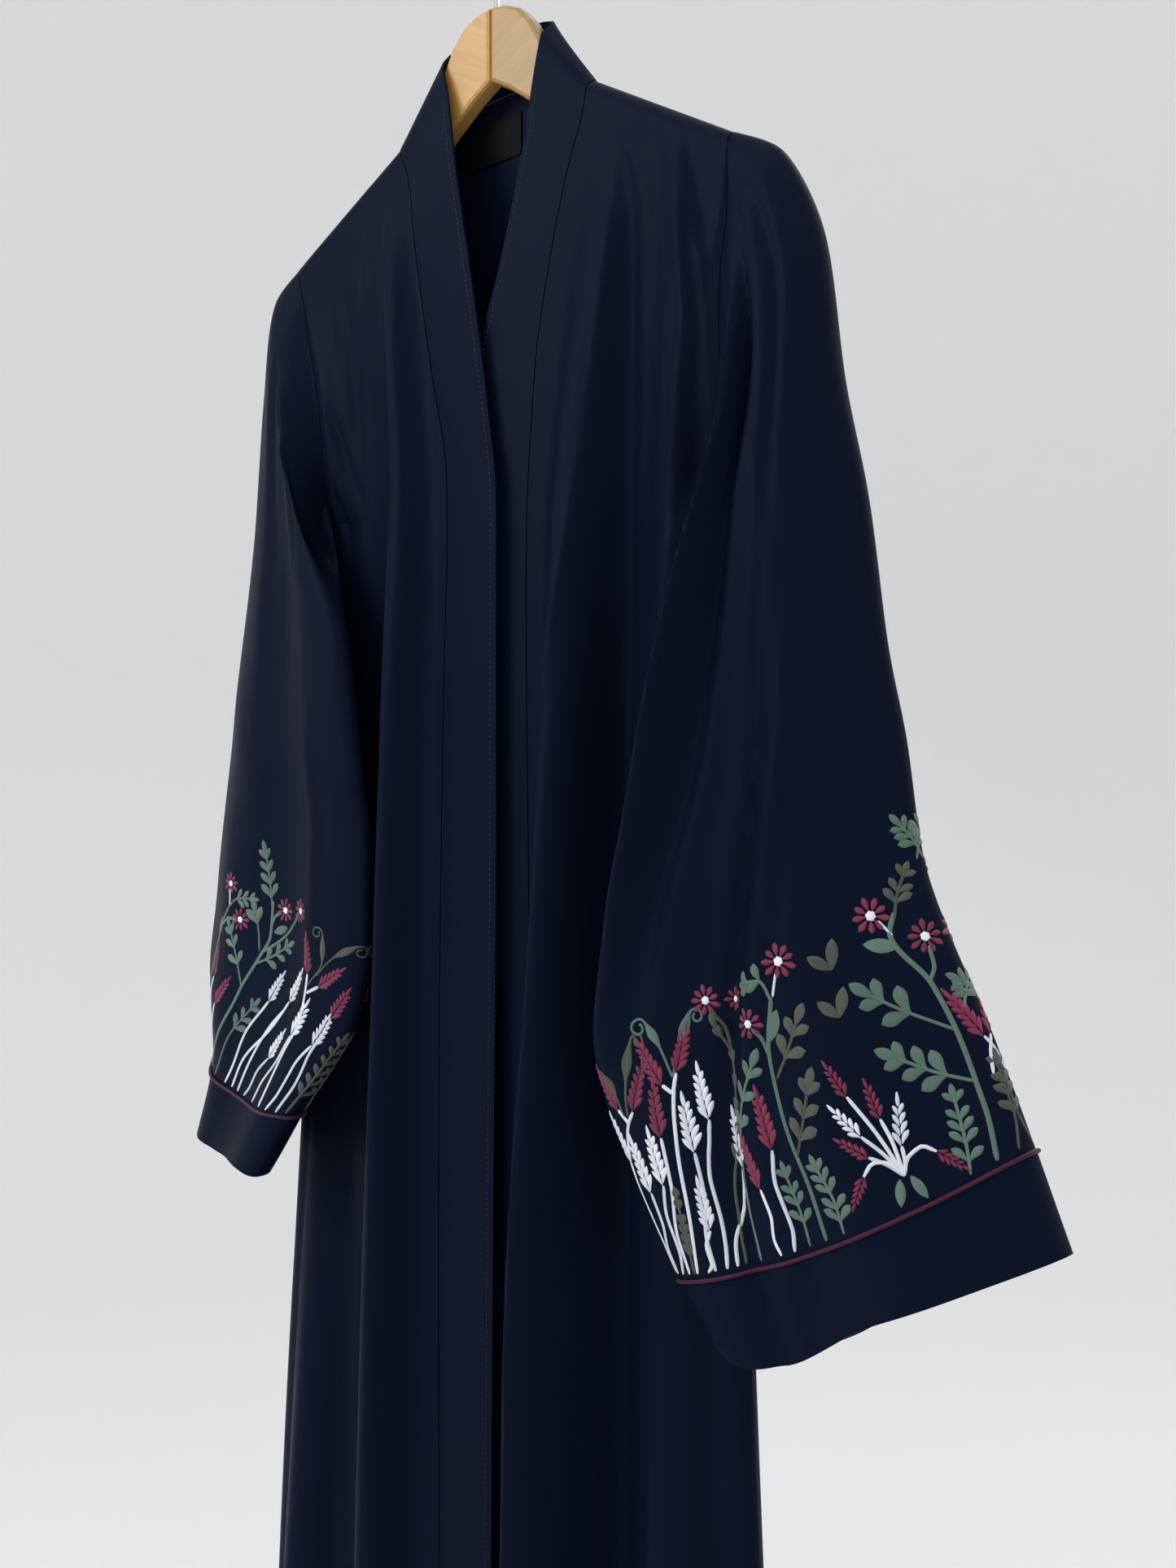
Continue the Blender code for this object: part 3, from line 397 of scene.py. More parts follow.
# Narrow creases of the sleeves' fronts
SLEEVE_CREASES = {
    Side.LEFT: (
        rows_of(
            SleeveFold, (0.6, 0.30, 0.0, 0.16), (1.6, 0.34, -0.0030, 0.20), (3.0, 0.30, -0.0020, 0.22),
            (4.6, 0.26, 0.0, 0.22),
        ),
        rows_of(
            SleeveFold, (0.4, -0.20, 0.0, 0.14), (1.4, -0.16, 0.0022, 0.16), (2.6, -0.20, 0.0016, 0.20),
            (4.0, -0.26, 0.0, 0.20),
        ),
        rows_of(
            SleeveFold, (4.0, -0.52, 0.0, 0.16), (5.6, -0.50, 0.0020, 0.16), (8.0, -0.52, 0.0012, 0.18),
            (10.0, -0.50, 0.0, 0.18),
        ),
    ),
    Side.RIGHT: (
        rows_of(
            SleeveFold, (0.3, 0.52, 0.0, 0.12), (0.9, 0.40, 0.0026, 0.14), (1.6, 0.24, 0.0018, 0.16),
            (2.4, 0.12, 0.0, 0.18),
        ),
        rows_of(
            SleeveFold, (0.7, 0.20, 0.0, 0.16), (1.5, -0.20, 0.0050, 0.20), (2.5, -0.62, 0.0070, 0.22),
            (4.5, -0.82, 0.0080, 0.18), (6.5, -0.88, 0.0040, 0.14), (8.0, -0.90, 0.0, 0.12),
        ),
        rows_of(
            SleeveFold, (0.4, 0.60, 0.0, 0.20), (1.0, 0.34, -0.0050, 0.24), (1.6, 0.10, -0.0080, 0.28),
            (2.5, -0.24, -0.0112, 0.32), (4.5, -0.46, -0.0120, 0.32), (6.5, -0.62, -0.0080, 0.24),
            (8.5, -0.68, 0.0, 0.18),
        ),
        rows_of(
            SleeveFold, (0.5, 0.72, 0.0, 0.12), (1.4, 0.60, -0.0034, 0.16), (2.8, 0.40, -0.0030, 0.20),
            (4.2, 0.26, 0.0, 0.22),
        ),
        rows_of(
            SleeveFold, (3.6, 0.26, 0.0, 0.10), (5.2, 0.18, -0.0034, 0.12), (7.0, 0.00, -0.0056, 0.13),
            (8.0, -0.15, -0.0062, 0.13), (9.0, -0.32, -0.0062, 0.13), (10.0, -0.46, -0.0050, 0.12),
            (11.0, -0.50, -0.0044, 0.12),
        ),
        rows_of(
            SleeveFold, (3.8, 0.46, 0.0, 0.10), (5.4, 0.38, 0.0026, 0.13), (7.0, 0.20, 0.0038, 0.14),
            (9.0, -0.12, 0.0038, 0.14), (11.0, -0.30, 0.0024, 0.14),
        ),
    ),
}


def glide(knots: Sequence[float], values: Sequence[float], at: np.ndarray) -> np.ndarray:
    """Reads a smooth curve through the values that never overshoots them.

    Args:
        knots: Rising places of the values.
        values: The values at the knots.
        at: The places to read.

    Returns:
        The curve at those places.
    """
    knots = np.asarray(knots, float)
    values = np.asarray(values, float)
    steps = np.diff(knots)
    slopes = np.diff(values) / steps
    tangents = np.zeros_like(values)
    tangents[0] = slopes[0]
    tangents[-1] = slopes[-1]
    for i in range(1, len(values) - 1):
        if slopes[i - 1] * slopes[i] > 0:
            before = 2 * steps[i] + steps[i - 1]
            after = steps[i] + 2 * steps[i - 1]
            tangents[i] = (before + after) / (before / slopes[i - 1] + after / slopes[i])
    at = np.clip(np.asarray(at, float), knots[0], knots[-1])
    i = np.clip(np.searchsorted(knots, at, side="right") - 1, 0, len(steps) - 1)
    t = (at - knots[i]) / steps[i]
    start = (1 + 2 * t) * (1 - t) ** 2 * values[i] + t * (1 - t) ** 2 * steps[i] * tangents[i]
    end = t**2 * (3 - 2 * t) * values[i + 1] + t**2 * (t - 1) * steps[i] * tangents[i + 1]
    return start + end


def column_of(table: Sequence[NamedTuple], name: str, at: np.ndarray, falling: bool = True) -> np.ndarray:
    """Reads one named column of a table against its first column.

    Args:
        table: Rows of named tuples.
        name: The column to read.
        at: Places along the first column.
        falling: True where the first column falls from row to row, as heights do.

    Returns:
        The column at those places.
    """
    turn = -1 if falling else 1
    return glide(
        [turn * row[0] for row in table], [getattr(row, name) for row in table], turn * np.asarray(at)
    )


def smooth_step(t: np.ndarray) -> np.ndarray:
    """Returns 0 below 0, 1 above 1 and a soft ramp between."""
    t = np.clip(t, 0.0, 1.0)
    return t * t * (3 - 2 * t)


def lump(away: np.ndarray) -> np.ndarray:
    """Returns a soft bump, 1 at 0 and 0 from 1 on."""
    return 0.5 + 0.5 * np.cos(math.pi * np.clip(away, -1, 1))


def lengths(points: np.ndarray) -> np.ndarray:
    """Returns the running length along a line of points."""
    steps = np.linalg.norm(np.diff(points, axis=0), axis=1)
    return np.concatenate([[0.0], np.cumsum(steps)])


@dataclass(frozen=True)
class CloakForm:
    """The cloak's surfaces, worked out at the fineness of the dressed pieces."""

    thickness: float = 0.0010
    seam_gap: float = 0.0003
    band_gap: dict[Side, float] = field(default_factory=lambda: {Side.LEFT: 0.0007, Side.RIGHT: 0.0003})
    ridge_gap: float = 0.0004
    side_seam_gap: float = 0.0001
    underarm_gap: float = 0.0022
    underarm_pinch: float = 0.0018
    sleeve_head_gap: float = 0.0004
    sleeve_back_gap: float = 0.0001
    shoulder_round: float = 0.0085
    round_blend: float = 0.060
    side_turn_depth: float = 0.016
    side_turn_run: float = 0.050
    armhole_margin: float = 0.006
    front_settle: float = 0.080
    back_settle: float = 0.100
    band_rest_share: float = 0.71
    band_flat_share: float = 0.25
    front_held_from: float = 0.75
    back_held_from: float = 0.80
    neck_point_z: float = -0.131
    shoulder_end_z: float = -0.186
    underarm_z: float = -0.365
    hem_z: float = -1.500
    neck_back_z: float = -0.112
    neck_half_width: float = 0.080
    neck_back_y: float = 0.014
    neck_squareness: float = 8
    armhole_front_depth: float = 0.011
    armhole_back_depth: float = 0.010
    armhole_point: float = 0.75
    underarm_y: float = 0.0
    back_y: float = 0.014
    back_half_width: float = 0.175
    collar_back: tuple[float, float, float] = (0.0, 0.013, -0.074)
    sleeve_roundness: float = 0.8
    cuff_wave: dict[Side, float] = field(default_factory=lambda: {Side.LEFT: -0.0015, Side.RIGHT: 0.009})
    cuff_wave_from: float = 9.9
    cuff_end_reach: float = 0.34
    cuff_dip_across: float = -0.44
    cuff_dip_reach: float = 0.72
    cuff_dip_share: float = 1.1
    band_crown: float = 0.0006
    crease_gain: float = 1.6
    crease_power: float = 1.4
    crease_clear_of_band: float = 0.08
    crease_clear_of_side: float = 0.03
    crease_clear_behind: float = 0.05
    sleeve_fold_shape: tuple[float, float] = (2.0, 1.0)
    sleeve_crease_shape: tuple[float, float] = (4.0, 1.3)
    behind_share: float = 0.8
    sleeve_sway: float = 0.0009
    head_ends: float = -0.1
    undulation: float = 0.0006
    undulation_lead: float = 0.02
    undulation_blend: float = 0.08
    arm_rows: int = 64
    body_rows: int = 130
    body_row_power: float = 1.15
    front_columns: int = 62
    shoulder_columns: int = 28
    neck_columns: int = 40
    side_columns: int = 8
    band_columns: int = 10

    def heights(self, top_z: np.ndarray) -> np.ndarray:
        """Returns the height of every row of the columns that start at top_z."""
        top_z = np.atleast_1d(top_z)
        fractions = (1 - np.cos(np.linspace(0, math.pi, self.arm_rows + 1))) / 2
        arm = top_z + (self.underarm_z - top_z) * fractions[:, None]
        down = np.linspace(0, 1, self.body_rows + 1)[1:] ** self.body_row_power
        body = self.underarm_z + (self.hem_z - self.underarm_z) * down
        return np.concatenate([arm, np.repeat(body[:, None], len(top_z), axis=1)])

    def over_shoulder(self, drop: np.ndarray) -> np.ndarray:
        """Returns how far the cloth has come forward at this drop below the shoulder ridge."""
        return self.shoulder_round * np.sqrt(1 - (1 - np.clip(drop / self.shoulder_round, 0, 1)) ** 2)

    def shoulder_point(self, side: Side, t: np.ndarray) -> tuple[np.ndarray, np.ndarray]:
        """Returns x and z on the shoulder seam, t running from the neck point to the armhole."""
        neck_x = side.sign * self.neck_half_width
        end_x = column_of(EDGES[side], "x", self.shoulder_end_z)
        fall = (self.shoulder_end_z - self.neck_point_z) * t
        return neck_x + (end_x - neck_x) * t, self.neck_point_z + fall

    def fold_rise(self, folds: Sequence[Sequence[Fold]], x: np.ndarray, z: np.ndarray) -> np.ndarray:
        """Returns how far the broad folds lift a panel at x and z."""
        total = np.zeros_like(x)
        for fold in folds:
            crest = column_of(fold, "x", z)
            away = x - crest
            outward = np.sign(crest) * away > 0
            reach = np.where(outward, column_of(fold, "outer", z), column_of(fold, "inner", z))
            begun = smooth_step((fold[0].z - z) / self.round_blend + 1)
            total = total + column_of(fold, "rise", z) * lump(away / reach) * begun
        return total

    def crease_rise(self, creases: Sequence[Sequence[Crease]], x: np.ndarray, z: np.ndarray) -> np.ndarray:
        """Returns how far the narrow creases and the cloth's slight unevenness lift a panel at x and z."""
        total = np.zeros_like(x)
        for crease in creases:
            away = (x - column_of(crease, "x", z)) / column_of(crease, "width", z)
            total = total + column_of(crease, "rise", z) * lump(away) ** self.crease_power
        wave = np.sin(31 * x + 4.1 * z + 0.7) * np.sin(7.3 * z + 9 * x)
        wave = wave + 0.6 * np.sin(57 * x - 6.2 * z + 2.1) * np.sin(11.7 * z + 1.3)
        begun = smooth_step((self.shoulder_end_z + self.undulation_lead - z) / self.undulation_blend)
        return self.crease_gain * total + self.undulation * wave * begun

    def edge_curve(self, side: Side, z: np.ndarray, facing: int) -> tuple[np.ndarray, np.ndarray]:
        """Returns x and y of the armhole and side seam. facing is -1 in front and 1 behind."""
        x = column_of(EDGES[side], "x", z)
        centre = (self.shoulder_end_z + self.underarm_z) / 2
        half = (self.shoulder_end_z - self.underarm_z) / 2
        round_about = np.clip(1 - ((z - centre) / half) ** 2, 0, 1) ** self.armhole_point
        depth = self.armhole_front_depth if facing < 0 else self.armhole_back_depth
        along = smooth_step((self.shoulder_end_z - z) / (self.shoulder_end_z - self.underarm_z))
        near_ridge = np.where(z > centre, self.over_shoulder(self.shoulder_end_z - z), 0)
        open_by = np.maximum(depth * np.where(z > self.underarm_z, round_about, 0), near_ridge)
        return x, self.underarm_y * along + facing * open_by

    def side_turn(self, z: np.ndarray) -> np.ndarray:
        """Returns how far the cloth turns round the side: not at the armhole, fully below it."""
        return smooth_step((self.underarm_z - z) / self.side_turn_run)

    def side_margin(self, z: np.ndarray) -> np.ndarray:
        """Returns the width of the strip that the side's last columns cross."""
        return self.armhole_margin + (self.side_turn_depth - self.armhole_margin) * self.side_turn(z)

    def turned_side(self, last: np.ndarray, side: Side, facing: int) -> list[np.ndarray]:
        """Returns the columns from the last one to the edge: straight at the armhole, rounded below it."""
        z = last[:, 2]
        edge_x, edge_y = self.edge_curve(side, z, facing)
        turn = self.side_turn(z)
        gap = facing * (self.underarm_gap + (self.side_seam_gap - self.underarm_gap) * turn) / 2
        columns = []
        for straight in np.linspace(0, 1, self.side_columns + 1)[1:]:
            angle = straight * math.pi / 2
            across = straight + (math.sin(angle) - straight) * turn
            back = straight + (1 - math.cos(angle) - straight) * turn
            x = last[:, 0] + (edge_x - last[:, 0]) * across
            y = last[:, 1] + (edge_y - last[:, 1]) * back
            columns.append(np.stack([x, y, z], axis=1))
        columns[-1][:, 1] += gap * (z <= self.underarm_z)
        return columns

    def front(self, side: Side) -> np.ndarray:
        """Returns a front panel's points, a row for each level and a column from the band to the side."""
        t = np.linspace(0, 1, self.front_columns + 1)[None, :]
        top_x, top_z = self.shoulder_point(side, t[0])
        z = self.heights(top_z)
        drop = top_z - z
        seam_x = column_of(FRONT_SEAMS[side], "seam_x", z)
        seam_y = column_of(FRONT_SEAMS[side], "seam_y", z)
        edge_x, edge_y = self.edge_curve(side, z, -1)
        last_x = edge_x - side.sign * self.side_margin(z)
        x = seam_x + (last_x - seam_x) * t
        x = x + (top_x - x[0]) * (1 - smooth_step(drop / self.front_settle))
        beside = column_of(EDGES[side], "front_y", z)
        surface = seam_y + (beside - seam_y) * smooth_step(t / self.band_rest_share)
        lift = self.fold_rise(FRONT_FOLDS[side], x, z) * smooth_step(t / self.band_flat_share)
        fine = self.crease_rise(FRONT_CREASES[side], x, z) * smooth_step(t / self.crease_clear_of_band)
        fine = fine * smooth_step((1 - t) / self.crease_clear_of_side)
        surface = surface - lift - fine
        held = smooth_step((t - self.front_held_from) / (1 - self.front_held_from)) * (1 - self.side_turn(z))
        surface = surface + (edge_y - self.underarm_pinch - surface) * held
        surface = surface - fine * held
        ramp = smooth_step(drop / self.round_blend)
        y = surface * ramp - self.over_shoulder(drop) * (1 - ramp)
        y[0] = -self.ridge_gap
        points = np.stack([x, y, z], axis=2)
        turned = self.turned_side(points[:, -1], side, -1)
        points = np.concatenate([points, np.stack(turned, axis=1)], axis=1)
        points[0, :, 1] = -self.ridge_gap
        return points

    def back(self) -> np.ndarray:
        """Returns the back panel's points, columns from the left armhole over the neck to the right one."""
        shoulder = np.linspace(1, 0, self.shoulder_columns, endpoint=False)
        neck = np.linspace(-1, 1, self.neck_columns + 1)
        share = self.neck_half_width / self.back_half_width
        columns = []
        places = [(Side.LEFT, t, None) for t in shoulder]
        places += [(Side.LEFT if n < 0 else Side.RIGHT, 0.0, n) for n in neck]
        places += [(Side.RIGHT, t, None) for t in shoulder[::-1]]
        for side, t, n in places:
            if n is None:
                top_x, top_z = self.shoulder_point(side, t)
                top_y = 0.0
                u = share + (1 - share) * t
            else:
                top_x = n * self.neck_half_width
                top_y = self.neck_back_y * (1 - abs(n) ** self.neck_squareness)
                top_z = self.neck_point_z + (self.neck_back_z - self.neck_point_z) * (1 - n * n)
                u = share * abs(n)
            z = self.heights(top_z)[:, 0]
            drop = top_z - z
            edge_x, edge_y = self.edge_curve(side, z, 1)
            x = (edge_x - side.sign * self.side_margin(z)) * u
            x = x + (top_x - x[0]) * (1 - smooth_step(drop / self.back_settle))
            fine = self.crease_rise(BACK_CREASES, x, z) * smooth_step((1 - u) / self.crease_clear_behind)
            surface = self.back_y + self.fold_rise(BACK_FOLDS, x, z) + fine
            held = smooth_step((u - self.back_held_from) / (1 - self.back_held_from))
            held = held * (1 - self.side_turn(z))
            surface = surface + (edge_y + self.underarm_pinch - surface) * held
            ramp = smooth_step(drop / self.round_blend)
            start = np.maximum(top_y, self.over_shoulder(drop))
            y = surface * ramp + start * (1 - ramp)
            y[0] = max(top_y, self.ridge_gap)
            columns.append(np.stack([x, y, z], axis=1))
        left = self.turned_side(columns[0], Side.LEFT, 1)
        right = self.turned_side(columns[-1], Side.RIGHT, 1)
        points = np.stack(left[::-1] + columns + right, axis=1)
        points[0, :, 1] = np.maximum(points[0, :, 1], self.ridge_gap)
        return points

    def neckline(self, side: Side, back: np.ndarray) -> np.ndarray:
        """Returns the points of the back neckline from this side's neck point to the middle."""
        first = self.side_columns + self.shoulder_columns
        neckline = back[0, first : first + self.neck_columns + 1]
        middle = self.neck_columns // 2
        return neckline[: middle + 1] if side is Side.LEFT else neckline[middle:][::-1]

    def band(self, side: Side, front: np.ndarray, back: np.ndarray) -> np.ndarray:
        """Returns a band's points, rows from the hem up the front and round to the middle of the neck."""
        seam = front[:, 0][::-1]
        table = BAND_EDGES[side]
        free = np.stack([column_of(table, name, seam[:, 2]) for name in ("x", "y", "z")], axis=1)
        neck = self.neckline(side, back)[1:]
        turn = np.linspace(0, math.pi / 2, len(neck) + 1)[1:]
        tip = free[-1]
        around = np.stack(
            [
                tip[0] * np.cos(turn),
                tip[1] + (self.collar_back[1] - tip[1]) * np.sin(turn),
                tip[2] + (self.collar_back[2] - tip[2]) * np.sin(turn),
            ],
            axis=1,
        )
        gaps = np.repeat([self.band_gap[side], self.seam_gap], [len(seam), len(neck)])[:, None]
        seam = np.concatenate([seam, neck])
        free = np.concatenate([free, around])
        across = free - seam
        away = across / np.linalg.norm(across, axis=1, keepdims=True)
        seam = seam + away * 2 * gaps
        seam[-1, 0] = free[-1, 0] = side.sign * self.seam_gap / 2
        steps = np.linspace(0, 1, self.band_columns + 1)
        points = np.stack([seam + (free - seam) * step for step in steps], axis=1)
        crown = np.sin(math.pi * steps)[None, :] * self.band_crown
        points[:, :, 1] -= crown * (points[:, :, 2] < self.neck_point_z)
        return points

    def sleeve(self, side: Side, front: np.ndarray, back: np.ndarray, stations: np.ndarray) -> np.ndarray:
        """Returns the sleeve's rings.

        Args:
            side: Which sleeve.
            front: The front panel's points.
            back: The back panel's points.
            stations: Places along the sleeve, 0 at the armhole and one a row of the sleeve's table.

        Returns:
            One ring of points a station, from the outer end over the front to the inner end and back.
        """
        table = SLEEVES[side]
        forward_edge = front[: self.arm_rows + 1, -1]
        back_edge = back[: self.arm_rows + 1, 0 if side is Side.LEFT else -1]
        ring = np.concatenate([forward_edge, back_edge[1:-1][::-1]])
        angle = np.linspace(0, 2 * math.pi, len(ring), endpoint=False)
        across = np.cos(angle)
        forward = np.sin(angle)
        knots = np.arange(len(table) + 1)
        top = ring[0] + np.array([0, self.ridge_gap, 0])
        first = SleeveSection(
            *top, *ring[self.arm_rows], self.armhole_front_depth, self.armhole_back_depth, 0.0
        )
        rows = (first,) + table
        rings = []
        for s in stations:
            at = {}
            for name in SleeveSection._fields:
                at[name] = float(glide(knots, [getattr(row, name) for row in rows], s))
            outer = np.array([at["outer_x"], at["outer_y"], at["outer_z"]])
            inner = np.array([at["inner_x"], at["inner_y"], at["inner_z"]])
            points = (outer + inner) / 2 + np.outer(across, (outer - inner) / 2)
            depth = np.where(forward > 0, at["front"], at["back"])
            points[:, 1] -= depth * np.abs(forward) ** self.sleeve_roundness * np.sign(forward)
            points[:, 2] -= at["sag"] * (1 - across**2)
            points[:, 2] += self.cuff_rise(side, s, across)
            for fold in SLEEVE_FOLDS[side]:
                points[:, 1] -= self.sleeve_rise(fold, s, across, *self.sleeve_fold_shape) * (forward > 0)
            for crease in SLEEVE_CREASES[side]:
                ahead = self.sleeve_rise(crease, s, across, *self.sleeve_crease_shape)
                points[:, 1] -= ahead * (forward > 0)
                behind = self.sleeve_rise(crease, s, -across, *self.sleeve_crease_shape)
                points[:, 1] += self.behind_share * behind * (forward < 0)
            sway = np.sin(2.3 * across + 1.9 * s) * np.sin(1.7 * s + 3.1 * across + 0.6)
            sway = self.sleeve_sway * sway * np.abs(forward) ** 0.5 * np.sign(forward)
            points[:, 1] -= sway * smooth_step(s - 0.6)
            begun = smooth_step(s)
            start = ring.copy()
            head = self.sleeve_head_gap + self.thickness / 2
            start[:, 0] += side.sign * np.where(forward > self.head_ends, head, self.sleeve_back_gap)
            rings.append(start * (1 - begun) + points * begun if s < 1 else points)
        return np.stack(rings)

    def cuff_rise(self, side: Side, s: float, across: np.ndarray) -> np.ndarray:
        """Returns how far the sleeve's end waves: up at its inner end and down beside it."""
        begun = float(smooth_step(s - self.cuff_wave_from))
        up = lump((across + 1) / self.cuff_end_reach) ** 1.3
        down = lump((across - self.cuff_dip_across) / self.cuff_dip_reach) ** 1.6
        return self.cuff_wave[side] * begun * (up - self.cuff_dip_share * down)

    def sleeve_rise(
        self, fold: Sequence[SleeveFold], s: float, across: np.ndarray, start: float, power: float
    ) -> np.ndarray:
        """Returns how far one fold lifts the sleeve's ring at station s."""
        at = {name: float(column_of(fold, name, s, falling=False)) for name in ("across", "rise", "width")}
        bump = lump((across - at["across"]) / at["width"]) ** power
        return at["rise"] * bump * float(smooth_step((s - fold[0].station) * start))


class NodeBench:
    """A material under work, with short ways to add and link nodes."""

    def __init__(self, name: str) -> None:
        """Starts a Principled material."""
        self.material = bpy.data.materials.new(name)
        self.material.use_nodes = True
        self.tree = self.material.node_tree
        self.shader = self.tree.nodes["Principled BSDF"]

    def add(self, kind: str, **settings: object) -> bpy.types.Node:
        """Adds a node.

        Args:
            kind: The node's type name.
            settings: Its attributes, or with a leading in_ its inputs, spaces written as _.

        Returns:
            The node.
        """
        node = self.tree.nodes.new(kind)
        for name, value in settings.items():
            if name.startswith("in_"):
                node.inputs[name[3:].replace("_", " ")].default_value = value
            else:
                setattr(node, name, value)
        return node

    def link(self, start: bpy.types.NodeSocket, end: bpy.types.NodeSocket) -> None:
        """Links two sockets."""
        self.tree.links.new(start, end)

    def mapped(self, kind: str, scale: tuple[float, float, float], turn: float = 0.0) -> bpy.types.NodeSocket:
        """Returns the coordinates of one kind, UV or Object, scaled and turned about Z."""
        source = self.add("ShaderNodeTexCoord")
        mapping = self.add("ShaderNodeMapping", in_Scale=scale, in_Rotation=(0.0, 0.0, turn))
        self.link(source.outputs[kind], mapping.inputs["Vector"])
        return mapping.outputs["Vector"]

    def mix(
        self, factor: bpy.types.NodeSocket, first: Sequence[float], second: Sequence[float]
    ) -> bpy.types.NodeSocket:
        """Returns a colour that runs from the first to the second with the factor."""
        node = self.add("ShaderNodeMix", data_type="RGBA")
        node.inputs[6].default_value = (*first, 1.0)
        node.inputs[7].default_value = (*second, 1.0)
        self.link(factor, node.inputs[0])
        return node.outputs[2]

    def ranged(self, value: bpy.types.NodeSocket, low: float, high: float) -> bpy.types.NodeSocket:
        """Returns the value, 0 to 1, carried over to the range low to high."""
        node = self.add("ShaderNodeMapRange")
        node.inputs["To Min"].default_value = low
        node.inputs["To Max"].default_value = high
        self.link(value, node.inputs["Value"])
        return node.outputs["Result"]

    def bump(
        self, height: bpy.types.NodeSocket, strength: float, distance: float,
        under: bpy.types.NodeSocket | None = None,
    ) -> bpy.types.NodeSocket:
        """Returns a bumped normal, on top of another one where that is given."""
        node = self.add("ShaderNodeBump", in_Strength=strength, in_Distance=distance)
        self.link(height, node.inputs["Height"])
        if under is not None:
            self.link(under, node.inputs["Normal"])
        return node.outputs["Normal"]


@dataclass(frozen=True)
class SatinFinish:
    """Dark navy satin-backed crepe: a fine diagonal weave and a low bluish gloss."""

    name: str = "navy_satin_crepe"
    deep: tuple[float, float, float] = (0.0028, 0.0056, 0.0150)
    lit: tuple[float, float, float] = (0.0040, 0.0080, 0.0200)
    roughness: tuple[float, float] = (0.40, 0.48)
    specular: float = 0.031
    weave_pitch: float = 0.0005
    turn: float = 0.70

    def build(self) -> bpy.types.Material:
        """Returns the material."""
        bench = NodeBench(self.name)
        shader = bench.shader
        shader.inputs["Specular IOR Level"].default_value = self.specular
        shader.inputs["Specular Tint"].default_value = (0.62, 0.80, 1.0, 1.0)
        cloud = bench.add("ShaderNodeTexNoise", in_Scale=5.0, in_Detail=3.0)
        bench.link(bench.mapped("Object", (2.0, 2.0, 0.5)), cloud.inputs["Vector"])
        bench.link(bench.mix(cloud.outputs["Fac"], self.deep, self.lit), shader.inputs["Base Color"])
        bench.link(bench.ranged(cloud.outputs["Fac"], *self.roughness), shader.inputs["Roughness"])
        twill = bench.add(
            "ShaderNodeTexWave", in_Scale=WAVE_SCALE / self.weave_pitch, in_Distortion=0.6, in_Detail=1.0
        )
        bench.link(bench.mapped("UV", (1.0, 1.0, 1.0), self.turn), twill.inputs["Vector"])
        slub = bench.add("ShaderNodeTexNoise", in_Scale=900.0, in_Detail=2.0)
        bench.link(bench.mapped("UV", (1.0, 0.25, 1.0)), slub.inputs["Vector"])
        normal = bench.bump(twill.outputs["Fac"], 0.12, 0.00012)
        bench.link(bench.bump(slub.outputs["Fac"], 0.15, 0.00010, normal), shader.inputs["Normal"])
        return bench.material


@dataclass(frozen=True)
class ThreadFinish:
    """Embroidery thread in satin stitch, laid slantwise, each motif a touch lighter or darker."""

    name: str
    dark: tuple[float, float, float]
    light: tuple[float, float, float]
    pitch: float = 0.00045

    def build(self) -> bpy.types.Material:
        """Returns the material."""
        bench = NodeBench(self.name)
        shader = bench.shader
        shader.inputs["Specular IOR Level"].default_value = 0.35
        shader.inputs["Sheen Weight"].default_value = 0.15
        tone = bench.add("ShaderNodeAttribute", attribute_name="tone")
        thread = bench.add(
            "ShaderNodeTexWave", in_Scale=WAVE_SCALE / self.pitch, in_Distortion=1.2, in_Detail=1.5
        )
        bench.link(bench.mapped("UV", (1.0, 1.0, 1.0), 0.9), thread.inputs["Vector"])
        strand = bench.add("ShaderNodeMath", operation="MULTIPLY_ADD")
        bench.link(thread.outputs["Fac"], strand.inputs[0])
        strand.inputs[1].default_value = 0.35
        bench.link(tone.outputs["Fac"], strand.inputs[2])
        bench.link(bench.mix(strand.outputs[0], self.dark, self.light), shader.inputs["Base Color"])
        bench.link(bench.ranged(thread.outputs["Fac"], 0.50, 0.38), shader.inputs["Roughness"])
        bench.link(bench.bump(thread.outputs["Fac"], 0.55, 0.00018), shader.inputs["Normal"])
        return bench.material


@dataclass(frozen=True)
class CordFinish:
    """Satin-covered piping cord with a fine slanting twill."""

    name: str = "maroon_piping"
    dark: tuple[float, float, float] = (0.024, 0.002, 0.011)
    light: tuple[float, float, float] = (0.078, 0.006, 0.036)

    def build(self) -> bpy.types.Material:
        """Returns the material."""
        bench = NodeBench(self.name)
        twist = bench.add("ShaderNodeTexWave", in_Scale=WAVE_SCALE / 0.0009, in_Distortion=0.8)
        bench.link(bench.mapped("UV", (1.0, 1.0, 1.0), 0.8), twist.inputs["Vector"])
        bench.link(bench.mix(twist.outputs["Fac"], self.dark, self.light), bench.shader.inputs["Base Color"])
        bench.link(bench.ranged(twist.outputs["Fac"], 0.55, 0.40), bench.shader.inputs["Roughness"])
        bench.shader.inputs["Sheen Weight"].default_value = 0.05
        bench.shader.inputs["Specular IOR Level"].default_value = 0.2
        bench.link(bench.bump(twist.outputs["Fac"], 0.5, 0.0002), bench.shader.inputs["Normal"])
        return bench.material


